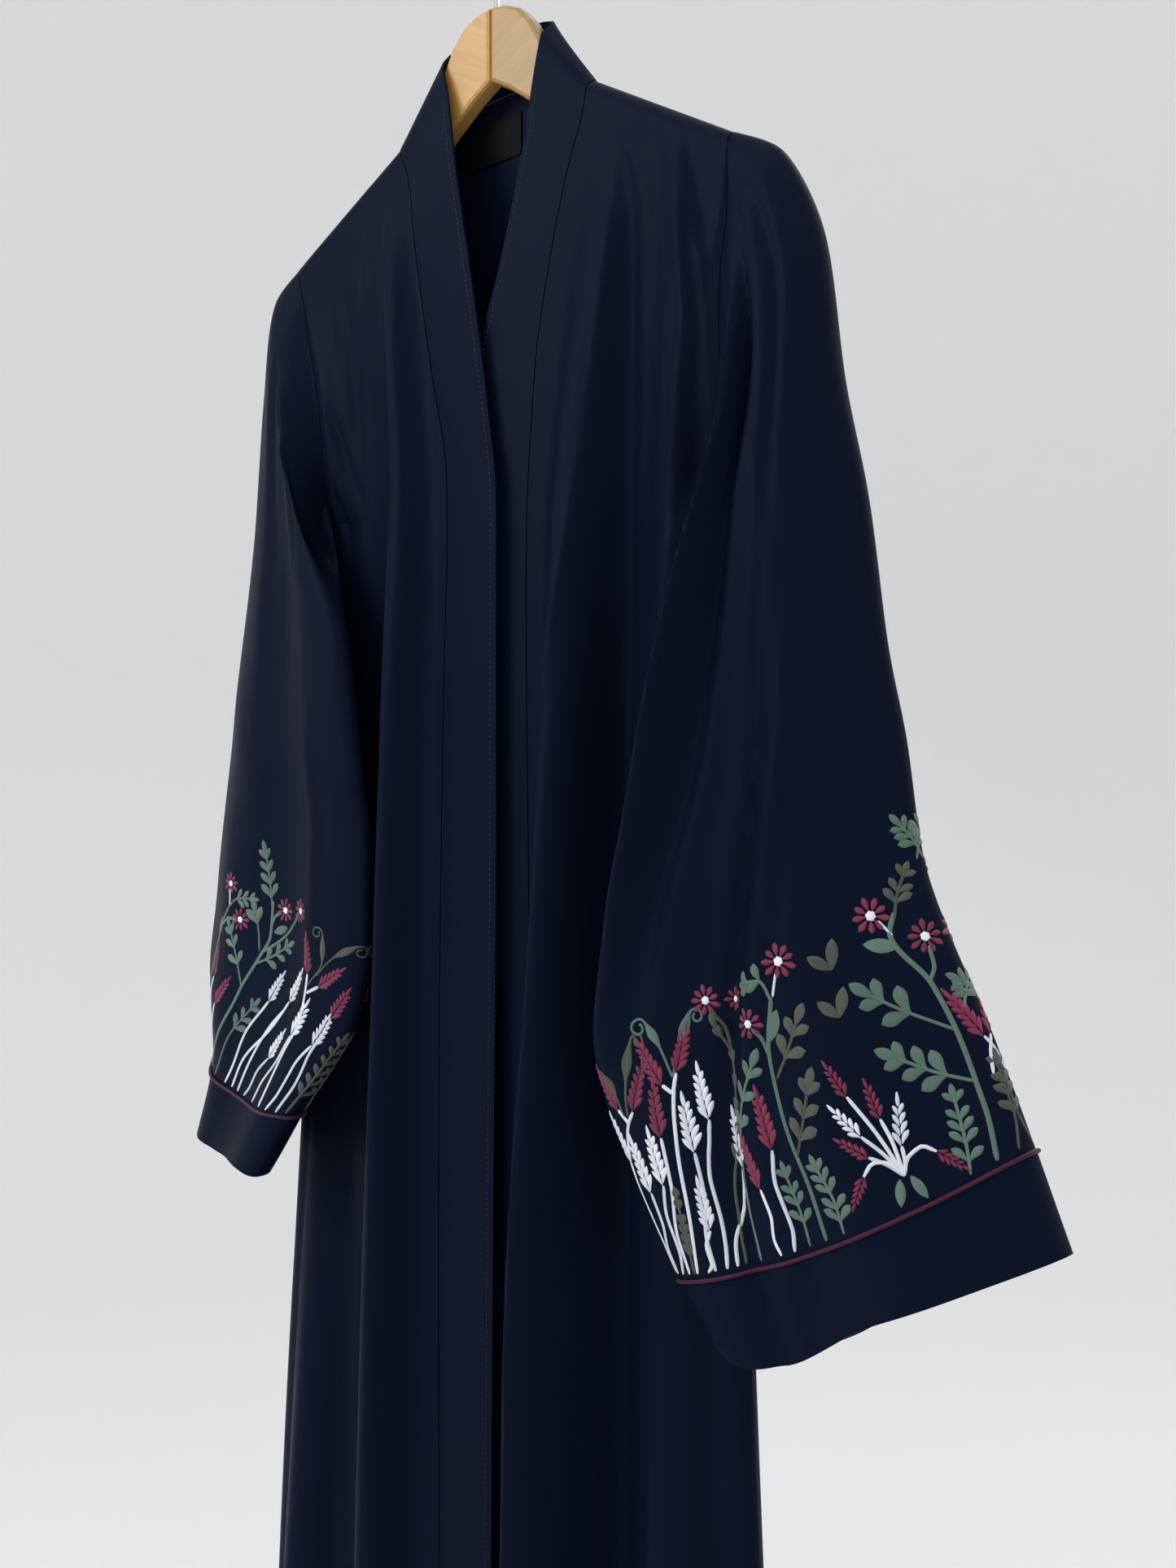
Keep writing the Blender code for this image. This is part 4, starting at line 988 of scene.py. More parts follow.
@dataclass(frozen=True)
class LabelFinish:
    """A bare woven damask label in near-black."""

    name: str = "woven_label"

    def build(self) -> bpy.types.Material:
        """Returns the material."""
        bench = NodeBench(self.name)
        weave = bench.add("ShaderNodeTexChecker", in_Scale=1600.0)
        bench.link(bench.mapped("UV", (1.0, 1.0, 1.0)), weave.inputs["Vector"])
        bench.link(
            bench.mix(weave.outputs["Fac"], (0.0018, 0.0018, 0.0030), (0.0044, 0.0050, 0.0075)),
            bench.shader.inputs["Base Color"],
        )
        cloud = bench.add("ShaderNodeTexNoise", in_Scale=120.0)
        bench.link(bench.mapped("Object", (1.0, 1.0, 1.0)), cloud.inputs["Vector"])
        bench.link(bench.ranged(cloud.outputs["Fac"], 0.55, 0.75), bench.shader.inputs["Roughness"])
        bench.shader.inputs["Specular IOR Level"].default_value = 0.08
        bench.link(bench.bump(weave.outputs["Fac"], 0.3, 0.0001), bench.shader.inputs["Normal"])
        return bench.material


@dataclass(frozen=True)
class WoodFinish:
    """Pale varnished hardwood with its grain along the arm."""

    name: str
    light: tuple[float, float, float]
    dark: tuple[float, float, float]
    turn: float

    def build(self) -> bpy.types.Material:
        """Returns the material."""
        bench = NodeBench(self.name)
        source = bench.add("ShaderNodeTexCoord")
        turned = bench.add("ShaderNodeMapping", in_Rotation=(0.0, self.turn, 0.0))
        bench.link(source.outputs["Object"], turned.inputs["Vector"])
        stretched = bench.add("ShaderNodeMapping", in_Scale=(5.0, 60.0, 60.0))
        bench.link(turned.outputs["Vector"], stretched.inputs["Vector"])
        grain = bench.add(
            "ShaderNodeTexNoise", in_Scale=3.0, in_Detail=6.0, in_Roughness=0.6, in_Distortion=0.4
        )
        bench.link(stretched.outputs["Vector"], grain.inputs["Vector"])
        pores = bench.add("ShaderNodeTexNoise", in_Scale=14.0, in_Detail=3.0)
        bench.link(stretched.outputs["Vector"], pores.inputs["Vector"])
        both = bench.add("ShaderNodeMath", operation="MULTIPLY")
        bench.link(grain.outputs["Fac"], both.inputs[0])
        bench.link(bench.ranged(pores.outputs["Fac"], 0.7, 1.3), both.inputs[1])
        bench.link(bench.mix(both.outputs[0], self.light, self.dark), bench.shader.inputs["Base Color"])
        bench.link(bench.ranged(grain.outputs["Fac"], 0.30, 0.48), bench.shader.inputs["Roughness"])
        bench.shader.inputs["Coat Weight"].default_value = 0.25
        bench.shader.inputs["Coat Roughness"].default_value = 0.25
        bench.link(bench.bump(both.outputs[0], 0.25, 0.0003), bench.shader.inputs["Normal"])
        return bench.material


@dataclass(frozen=True)
class SteelFinish:
    """Bright plated wire with fine rub marks."""

    name: str = "bright_steel"

    def build(self) -> bpy.types.Material:
        """Returns the material."""
        bench = NodeBench(self.name)
        bench.shader.inputs["Metallic"].default_value = 1.0
        rub = bench.add("ShaderNodeTexNoise", in_Scale=60.0, in_Detail=5.0)
        bench.link(bench.mapped("Object", (1.0, 1.0, 6.0)), rub.inputs["Vector"])
        bench.link(
            bench.mix(rub.outputs["Fac"], (0.62, 0.62, 0.63), (0.80, 0.80, 0.80)),
            bench.shader.inputs["Base Color"],
        )
        bench.link(bench.ranged(rub.outputs["Fac"], 0.16, 0.34), bench.shader.inputs["Roughness"])
        bench.link(bench.bump(rub.outputs["Fac"], 0.1, 0.0001), bench.shader.inputs["Normal"])
        return bench.material


@dataclass(frozen=True)
class PaintFinish:
    """Plain pale matt paint of the floor and the wall."""

    name: str = "pale_backdrop"
    colour: tuple[float, float, float] = (0.76, 0.76, 0.76)

    def build(self) -> bpy.types.Material:
        """Returns the material."""
        bench = NodeBench(self.name)
        cloud = bench.add("ShaderNodeTexNoise", in_Scale=0.6)
        bench.link(bench.mapped("Object", (1.0, 1.0, 1.0)), cloud.inputs["Vector"])
        near = tuple(0.985 * channel for channel in self.colour)
        bench.link(bench.mix(cloud.outputs["Fac"], near, self.colour), bench.shader.inputs["Base Color"])
        bench.shader.inputs["Roughness"].default_value = 0.9
        bench.shader.inputs["Specular IOR Level"].default_value = 0.1
        return bench.material


def deselect_all() -> None:
    """Deselects every object, so that an operator acts only on what it makes."""
    bpy.ops.object.select_all(action="DESELECT")


def apply_modifier(piece: bpy.types.Object, name: str) -> None:
    """Applies one modifier of a piece."""
    deselect_all()
    piece.select_set(True)
    bpy.context.view_layer.objects.active = piece
    bpy.ops.object.modifier_apply(modifier=name)


def shade(piece: bpy.types.Object, degrees: float = 45.0) -> None:
    """Shades a piece smooth, with sharp edges past an angle."""
    deselect_all()
    piece.select_set(True)
    bpy.context.view_layer.objects.active = piece
    bpy.ops.object.shade_smooth_by_angle(angle=math.radians(degrees))


def record_piece(piece: bpy.types.Object, slot: str, *nodes: str) -> bpy.types.Object:
    """Rides a piece on the cloak's body, hides the CAD nodes that it stands for, and reports it.

    Args:
        piece: The finished piece.
        slot: Not used.
        nodes: CAD nodes that it replaces.

    Returns:
        The piece.
    """
    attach(piece, "root")
    if nodes:
        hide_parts(*nodes)
    LOG.info("%s: %d faces", piece.name, len(piece.data.polygons))
    return piece


def make_grid(name: str, points: np.ndarray) -> bpy.types.Object:
    """Returns a piece with one face between each four neighbours of the rows of points."""
    rows, columns = points.shape[:2]
    deselect_all()
    bpy.ops.mesh.primitive_grid_add(x_subdivisions=columns - 1, y_subdivisions=rows - 1, size=1.0)
    piece = bpy.context.object
    piece.name = piece.data.name = name
    piece.data.vertices.foreach_set("co", points.astype(np.float32).ravel())
    piece.data.update()
    return piece


def lay_uv(mesh: bpy.types.Mesh, places: np.ndarray) -> None:
    """Sets a grid's UV map from one place a point."""
    corners = np.empty(len(mesh.loops), np.int32)
    mesh.loops.foreach_get("vertex_index", corners)
    uv = places.reshape(-1, 2)[corners]
    mesh.uv_layers.active.data.foreach_set("uv", uv.astype(np.float32).ravel())
    mesh.update()


def weld_ends() -> None:
    """Joins the points where the ends of the active piece meet, and turns its faces outward."""
    bpy.ops.object.mode_set(mode="EDIT")
    bpy.ops.mesh.select_all(action="SELECT")
    bpy.ops.mesh.remove_doubles(threshold=1e-5)
    bpy.ops.mesh.normals_make_consistent(inside=False)
    bpy.ops.object.mode_set(mode="OBJECT")


def make_sheet(
    name: str, points: np.ndarray, material: bpy.types.Material, thickness: float, closed: bool = False
) -> bpy.types.Object:
    """Makes a thin shell through rows of points, with its UV map in metres of cloth.

    Args:
        name: The piece's name.
        points: Rows of points.
        material: Its finish.
        thickness: The cloth's thickness.
        closed: True where each row's two ends meet.

    Returns:
        The finished shell.
    """
    if closed:
        points = np.concatenate([points, points[:, :1]], axis=1)
    piece = make_grid(name, points)
    rows, columns = points.shape[:2]
    across = np.repeat(lengths(points[rows // 2])[None, :], rows, axis=0)
    down = np.stack([lengths(points[:, j]) for j in range(columns)], axis=1)
    lay_uv(piece.data, np.stack([across, down], axis=2))
    if closed:
        weld_ends()
    wall = piece.modifiers.new("Wall", "SOLIDIFY")
    wall.thickness = thickness
    wall.offset = 0.0
    apply_modifier(piece, "Wall")
    piece.data.materials.clear()
    piece.data.materials.append(material)
    shade(piece)
    return piece


class ThreadWork:
    """Collects ribbons of thread and joins them into one mesh."""

    PROFILE = ((-1.0, 0.0), (-0.62, 0.72), (0.0, 1.0), (0.62, 0.72), (1.0, 0.0))

    def __init__(self) -> None:
        """Starts with no ribbon."""
        self.points: list[np.ndarray] = []
        self.faces: list[tuple[int, ...]] = []
        self.uvs: list[np.ndarray] = []
        self.tones: list[np.ndarray] = []
        self.count = 0

    def ribbon(
        self, line: np.ndarray, normals: np.ndarray, widths: np.ndarray, height: float, lift: float,
        tone: float,
    ) -> None:
        """Adds one closed ribbon with a domed section.

        Args:
            line: The points of its middle line.
            normals: The cloth's outward direction at each of them.
            widths: Its half width at each of them.
            height: How far its middle stands above its edges.
            lift: How far its underside stands off the line.
            tone: How light its thread is, 0 to 1.
        """
        tangent = np.gradient(line, axis=0)
        sideways = np.cross(normals, tangent)
        sideways /= np.maximum(np.linalg.norm(sideways, axis=1, keepdims=True), 1e-9)
        run = lengths(line)
        ring = len(self.PROFILE)
        round_off = np.minimum(1.0, np.sqrt(np.maximum(widths, 1e-5) / max(widths.max(), 1e-6)))
        for across, rise in self.PROFILE:
            place = line + sideways * (widths * across)[:, None]
            place = place + normals * (lift + height * rise * round_off)[:, None]
            self.points.append(place)
            self.uvs.append(np.stack([run, widths * abs(across)], axis=1))
            self.tones.append(np.full(len(line), tone))
        n = len(line)
        start = self.count
        for i in range(n - 1):
            for k in range(ring):
                other = (k + 1) % ring
                a = start + k * n + i
                b = start + other * n + i
                self.faces.append((a, b, b + 1, a + 1))
        self.faces.append(tuple(start + k * n for k in range(ring))[::-1])
        self.faces.append(tuple(start + k * n + n - 1 for k in range(ring)))
        self.count += ring * n

    def finish(self, name: str, material: bpy.types.Material, degrees: float = 60.0) -> bpy.types.Object:
        """Returns all the ribbons as one piece."""
        mesh = bpy.data.meshes.new(name)
        mesh.from_pydata(np.concatenate(self.points).tolist(), [], self.faces)
        layer = mesh.uv_layers.new(name="UVMap")
        corners = np.empty(len(mesh.loops), np.int32)
        mesh.loops.foreach_get("vertex_index", corners)
        layer.data.foreach_set("uv", np.concatenate(self.uvs)[corners].astype(np.float32).ravel())
        tone = mesh.attributes.new("tone", "FLOAT", "POINT")
        tone.data.foreach_set("value", np.concatenate(self.tones).astype(np.float32))
        mesh.materials.append(material)
        piece = bpy.data.objects.new(name, mesh)
        bpy.context.scene.collection.objects.link(piece)
        deselect_all()
        piece.select_set(True)
        bpy.context.view_layer.objects.active = piece
        bpy.ops.object.mode_set(mode="EDIT")
        bpy.ops.mesh.select_all(action="SELECT")
        bpy.ops.mesh.normals_make_consistent(inside=False)
        bpy.ops.object.mode_set(mode="OBJECT")
        shade(piece, degrees)
        return piece


class SleeveChart:
    """The lower sleeve in metres along the piping (u, from the front's inner end) and above it (v)."""

    STEP = 0.0015
    TALL = 0.300

    def __init__(self, rings: np.ndarray) -> None:
        """Lays the chart over the sleeve's rings.

        Args:
            rings: The sleeve's rings, the last one at the piping, each from the outer end over the front.
        """
        count = rings.shape[1]
        inner = count // 2
        order = np.concatenate([np.arange(inner, -1, -1), np.arange(count - 1, inner - 1, -1)])
        upward = rings[::-1][:, order]
        self.front_width = float(lengths(upward[0, : inner + 1])[-1])
        along = lengths(upward[0])
        self.round_about = float(along[-1])
        levels = np.arange(0, self.TALL + self.STEP, self.STEP)
        columns = []
        for j in range(upward.shape[1]):
            run = lengths(upward[:, j])
            columns.append(
                np.stack([np.interp(levels, run, upward[:, j, axis]) for axis in range(3)], axis=1)
            )
        columns = np.stack(columns, axis=1)
        self.across = np.arange(0, self.round_about, self.STEP)
        rows = []
        for row in columns:
            rows.append(np.stack([np.interp(self.across, along, row[:, axis]) for axis in range(3)], axis=1))
        self.grid = np.stack(rows)
        self.du = (np.roll(self.grid, -1, axis=1) - np.roll(self.grid, 1, axis=1)) / (2 * self.STEP)
        self.dv = np.gradient(self.grid, self.STEP, axis=0)
        normal = np.cross(self.du, self.dv)
        normal /= np.linalg.norm(normal, axis=2, keepdims=True)
        middle = self.grid.mean(axis=1, keepdims=True)
        self.normal = normal * np.sign(np.sum(normal * (self.grid - middle)))

    def read(self, table: np.ndarray, places: np.ndarray) -> np.ndarray:
        """Reads a table of the chart at (u, v) places."""
        u = (places[:, 0] / self.STEP) % len(self.across)
        v = np.clip(places[:, 1] / self.STEP, 0, len(table) - 1.001)
        i = v.astype(int)
        j = u.astype(int)
        fu = (u - j)[:, None]
        fv = (v - i)[:, None]
        right = (j + 1) % len(self.across)
        low = table[i, j] * (1 - fu) + table[i, right] * fu
        high = table[i + 1, j] * (1 - fu) + table[i + 1, right] * fu
        return low * (1 - fv) + high * fv

    def local(self, anchor: Sequence[float], offsets: np.ndarray) -> np.ndarray:
        """Returns the (u, v) places at offsets in metres from an anchor, along the round and square to it."""
        place = np.array([anchor], float)
        du = self.read(self.du, place)[0]
        dv = self.read(self.dv, place)[0]
        k = np.linalg.norm(du)
        ex = du / k
        p = float(dv @ ex)
        q = float(np.linalg.norm(dv - p * ex))
        v = offsets[:, 1] / q
        u = (offsets[:, 0] - p * v) / k
        return np.array(anchor) + np.stack([u, v], axis=1)


def curve_through(knots: Sequence[Sequence[float]], count: int) -> np.ndarray:
    """Returns count places on a smooth line through the knots."""
    knots = np.asarray(knots, float)
    run = lengths(knots)
    at = np.linspace(0, run[-1], count)
    return np.stack([glide(run, knots[:, axis], at) for axis in range(knots.shape[1])], axis=1)


def turned(offsets: np.ndarray, degrees: float) -> np.ndarray:
    """Returns offsets turned clockwise from upright by an angle."""
    a = math.radians(degrees)
    across, up = offsets[:, 0], offsets[:, 1]
    turned_across = across * math.cos(a) + up * math.sin(a)
    turned_up = -across * math.sin(a) + up * math.cos(a)
    return np.stack([turned_across, turned_up], axis=1)


@dataclass
class Meadow:
    """The embroidered meadow of one sleeve, stitched motif by motif on the sleeve's chart."""

    chart: SleeveChart
    wide: float = 1.0
    tall: float = 1.0
    size: float = 1.0
    stretch: float = 1.0
    shift: float = 0.0
    hand: int = 1
    low: float = 0.0048
    lift: float = 0.00045
    stem_width: float = 0.00105
    stem_step: float = 0.0025
    threads: dict[Thread, ThreadWork] = field(
        default_factory=lambda: {thread: ThreadWork() for thread in Thread}
    )
    stitched: int = 0

    def at(self, u: float, v: float) -> tuple[float, float]:
        """Returns a place of the layout on the chart."""
        return (self.shift + self.hand * u * self.wide, v * self.tall)

    def path(self, *places: tuple[float, float]) -> tuple[tuple[float, float], ...]:
        """Returns several places of the layout on the chart."""
        return tuple(self.at(u, v) for u, v in places)

    def place(self, anchor: Sequence[float], offsets: np.ndarray, degrees: float) -> np.ndarray:
        """Returns the chart places at offsets in metres from an anchor, turned clockwise from upright."""
        return self.chart.local(anchor, turned(offsets, degrees) * (self.stretch, 1.0))

    def tone(self) -> float:
        """Returns the next motif's lightness, uneven from one to the next."""
        self.stitched += 1
        return 0.15 + 0.5 * ((self.stitched * 0.618034) % 1.0)

    def lay(
        self, thread: Thread, places: np.ndarray, widths: np.ndarray, height: float = 0.0007,
        tone: float | None = None,
    ) -> None:
        """Lays one ribbon of thread along (u, v) places."""
        line = self.chart.read(self.chart.grid, places)
        normals = self.chart.read(self.chart.normal, places)
        normals /= np.linalg.norm(normals, axis=1, keepdims=True)
        self.threads[thread].ribbon(
            line, normals, widths, height, self.lift, self.tone() if tone is None else tone
        )

    def stem(
        self, thread: Thread, knots: Sequence[Sequence[float]], width: float | None = None
    ) -> np.ndarray:
        """Stitches a stem through (u, v) knots and returns its places."""
        length = np.linalg.norm(np.diff(np.asarray(knots), axis=0), axis=1).sum()
        places = curve_through(knots, max(10, int(length / self.stem_step)))
        half = width or self.stem_width
        widths = np.full(len(places), half)
        widths[0] = widths[-1] = half * 0.6
        self.lay(thread, places, widths, height=0.0006)
        return places

    def head(self, thread: Thread, place: Sequence[float], degrees: float, length: float) -> None:
        """Stitches one ear of the layout."""
        self.ear(thread, place, self.hand * degrees, length)

    def leaf(
        self, thread: Thread, place: Sequence[float], degrees: float, length: float, share: float = 0.20,
        roundness: float = 0.5,
    ) -> None:
        """Stitches one leaf of the layout, as wide to each side as that share of its length."""
        size = length * self.size
        self.petal(thread, place, self.hand * degrees, size, size * share, roundness=roundness)

    def petal(
        self, thread: Thread, anchor: Sequence[float], degrees: float, length: float, width: float,
        bend: float = 0.0, roundness: float = 0.5, tone: float | None = None,
    ) -> None:
        """Stitches one leaf, petal or grain at its own size.

        Args:
            thread: Its thread.
            anchor: The (u, v) place that it grows from.
            degrees: Its direction, clockwise from upright.
            length: Its length.
            width: Its half width.
            bend: How far its middle bows to one side, as a share of its length.
            roundness: Where it is widest, from 0 at its foot to 1 at its tip.
            tone: Its lightness.
        """
        t = np.linspace(0, 1, 8)
        peak = t ** (math.log(0.5) / math.log(roundness))
        profile = np.sin(math.pi * peak) ** 0.8
        offsets = np.stack([bend * length * np.sin(math.pi * t), t * length], axis=1)
        places = self.place(anchor, offsets, degrees)
        self.lay(thread, places, width * profile + 0.00025, tone=tone)

    def ear(
        self, thread: Thread, anchor: Sequence[float], degrees: float, length: float, pairs: int = 5
    ) -> None:
        """Stitches an ear of plump slanting grains with a pointed tip."""
        tone = self.tone()
        length = length * self.size
        for k in range(pairs):
            share = k / pairs
            size = length * (0.28 - 0.09 * share)
            for turn in (-1, 1):
                up = length * (0.01 + 0.72 * share + (0.035 if turn > 0 else 0.0))
                foot = self.place(anchor, np.array([[turn * 0.0004, up]]), degrees)[0]
                self.petal(
                    thread, foot, degrees + turn * (30 - 8 * share), size, length * (0.041 - 0.010 * share),
                    bend=-turn * 0.07, roundness=0.60, tone=tone + 0.14 * turn,
                )
        foot = self.place(anchor, np.array([[0.0, 0.73 * length]]), degrees)[0]
        self.petal(thread, foot, degrees, length * 0.27, length * 0.030, roundness=0.40, tone=tone)

    def spray(
        self, thread: Thread, knots: Sequence[Sequence[float]], start: float, pairs: int, leaf: float,
        slant: float = 44.0, fat: float = 0.22,
    ) -> None:
        """Stitches a stem with paired rounded leaflets on its upper part and one at its tip.

        Args:
            thread: Its thread.
            knots: The chart places of its stem.
            start: Where along it the leaflets begin, 0 to 1.
            pairs: How many pairs there are.
            leaf: The longest leaflet's length in the layout.
            slant: How far the leaflets lean out, in degrees.
            fat: A leaflet's half width as a share of its length.
        """
        places = self.stem(thread, knots, self.stem_width * 0.8)
        run = lengths(self.chart.read(self.chart.grid, places))
        run = run / run[-1]
        tone = self.tone()
        leaf = leaf * self.size
        for k in range(pairs):
            i = min(int(np.searchsorted(run, start + (1 - start) * (k + 0.2) / pairs)), len(places) - 2)
            degrees = self.bearing(places[i], places[i + 1])
            size = leaf * (1.0 - 0.30 * k / pairs)
            for turn in (-1, 1):
                self.petal(
                    thread, places[i], degrees + turn * (slant - 8 * k / pairs), size, size * fat,
                    bend=-turn * 0.06, roundness=0.66, tone=tone + 0.07 * turn,
                )
        self.petal(
            thread, places[-2], self.bearing(places[-2], places[-1]), leaf * 0.95, leaf * fat * 0.85,
            roundness=0.60, tone=tone,
        )

    def bearing(self, start: np.ndarray, end: np.ndarray) -> float:
        """Returns the direction from one place to the next, in degrees clockwise from upright."""
        ends = [self.chart.read(self.chart.grid, place[None, :])[0] for place in (start, end)]
        step = ends[1] - ends[0]
        du = self.chart.read(self.chart.du, start[None, :])[0]
        dv = self.chart.read(self.chart.dv, start[None, :])[0]
        ex = du / np.linalg.norm(du)
        ey = dv - (dv @ ex) * ex
        return math.degrees(math.atan2(float(step @ ex), float(step @ (ey / np.linalg.norm(ey)))))

    def daisy(self, centre: Sequence[float], radius: float, petals: int = 9, turn: float = 0.0) -> None:
        """Stitches a daisy of maroon petals round a white middle."""
        tone = self.tone()
        radius = radius * self.size
        for k in range(petals):
            degrees = turn + 360 * k / petals
            foot = self.place(centre, np.array([[0.0, radius * 0.26]]), degrees)[0]
            self.petal(
                Thread.MAROON, foot, degrees, radius * (0.74 - 0.06 * (k % 3)), radius * 0.135,
                roundness=0.64, tone=tone,
            )
        for k in range(3):
            degrees = turn + 60 * k
            foot = self.place(centre, np.array([[0.0, -radius * 0.27]]), degrees)[0]
            self.petal(Thread.WHITE, foot, degrees, radius * 0.54, radius * 0.20, tone=0.9)

    def tendril(
        self, thread: Thread, knots: Sequence[Sequence[float]], swell: float, curl: float, hand: int
    ) -> None:
        """Stitches a tendril that swells into a spindle leaf and ends in a curl.

        Args:
            thread: Its thread.
            knots: The chart places of its stem.
            swell: Where along it the leaf is, 0 to 1.
            curl: The radius of the curl.
            hand: 1 where it curls outward, -1 where it curls inward.
        """
        places = curve_through(knots, 26)
        degrees = self.bearing(places[-2], places[-1])
        t = np.linspace(0, 1, 20)[1:]
        radius = curl * self.size * (1 - 0.62 * t)
        angle = t * math.radians(400)
        spiral = np.stack(
            [hand * self.hand * (curl * self.size - radius * np.cos(angle)), radius * np.sin(angle)], axis=1
        )
        places = np.concatenate([places, self.place(places[-1], spiral, degrees)])
        along = np.linspace(0, 1, len(places))
        widths = self.size * (0.0008 + 0.0026 * lump((along - swell) / 0.16))
        widths[-1] = 0.0005
        self.lay(thread, places, widths, height=0.0006)

    def sprig(self, place: Sequence[float], degrees: float, leaf: float) -> None:
        """Stitches two small leaves in a V."""
        self.leaf(Thread.OLIVE, place, degrees - 42, leaf, 0.20, 0.55)
        self.leaf(Thread.OLIVE, place, degrees + 22, leaf * 1.1, 0.19, 0.55)

    def bouquet(self, foot: Sequence[float], degrees: float, length: float) -> None:
        """Stitches a fan of white stems with maroon and white ears and two leaves under it."""
        size = length * self.size
        rising = (
            (-15, 0.98, Thread.MAROON, 0.46), (-2, 0.62, Thread.MAROON, 0.46),
            (-44, 0.40, Thread.MAROON, 0.42), (-28, 0.58, Thread.WHITE, 0.48),
            (16, 0.30, Thread.WHITE, 0.56),
        )
        for turn, reach, thread, ear in rising:
            lean = degrees + self.hand * turn
            tip = self.place(foot, np.array([[0.0, size * reach]]), lean)[0]
            middle = self.place(foot, np.array([[0.02 * size, size * reach * 0.5]]), lean)[0]
            self.stem(Thread.WHITE, (foot, middle, tip), 0.00095)
            self.ear(thread, tip, lean, length * ear, 4)
        for turn in (-self.hand, self.hand):
            hook = np.array([[0.10 * turn, 0.16], [0.26 * turn, 0.22], [0.40 * turn, 0.12]]) * size
            places = self.place(foot, hook, degrees)
            self.stem(Thread.WHITE, (foot, *places), 0.00095)
            self.ear(Thread.MAROON, places[-1], degrees + turn * 140, length * 0.40, 4)
            below = self.place(foot, np.array([[0.06 * turn * size, -0.02 * size]]), degrees)[0]
            self.petal(Thread.SAGE, below, degrees + turn * 162, size * 0.28, size * 0.050)


class Stalk(NamedTuple):
    """An ear on its stem: the stem's foot and head, the ear's lean, its length and its thread."""

    foot: float
    head_u: float
    head_v: float
    lean: float
    ear: float
    thread: Thread


RIGHT_STALKS = rows_of(
    Stalk, (0.002, 0.006, 0.036, -3, 0.036, Thread.WHITE), (0.006, 0.011, 0.082, -8, 0.034, Thread.WHITE),
    (0.011, 0.018, 0.060, -4, 0.040, Thread.WHITE), (0.016, 0.028, 0.064, 2, 0.038, Thread.WHITE),
    (0.021, 0.037, 0.094, 5, 0.038, Thread.MAROON), (0.033, 0.0420, 0.030, 2, 0.034, Thread.WHITE),
    (0.037, 0.0505, 0.080, 0, 0.038, Thread.WHITE), (0.043, 0.0630, 0.098, 4, 0.036, Thread.WHITE),
    (0.048, 0.0690, 0.062, 6, 0.038, Thread.WHITE), (0.0265, 0.0560, 0.132, 30, 0.034, Thread.MAROON),
    (0.0760, 0.0780, 0.046, -8, 0.040, Thread.MAROON), (0.0830, 0.0910, 0.066, 10, 0.040, Thread.MAROON),
)

LEFT_STALKS = rows_of(
    Stalk, (0.086, 0.0640, 0.102, -20, 0.035, Thread.WHITE),
    (0.078, 0.0470, 0.112, -22, 0.038, Thread.WHITE), (0.061, 0.0490, 0.050, -20, 0.035, Thread.WHITE),
    (0.046, 0.0345, 0.083, -22, 0.041, Thread.WHITE), (0.0245, 0.0170, 0.082, -26, 0.036, Thread.WHITE),
    (0.034, 0.0335, 0.148, 8, 0.037, Thread.MAROON), (0.0145, 0.0135, 0.114, -26, 0.034, Thread.MAROON),
    (0.126, 0.1060, 0.074, -22, 0.034, Thread.MAROON), (0.134, 0.1130, 0.098, 0, 0.034, Thread.MAROON),
)


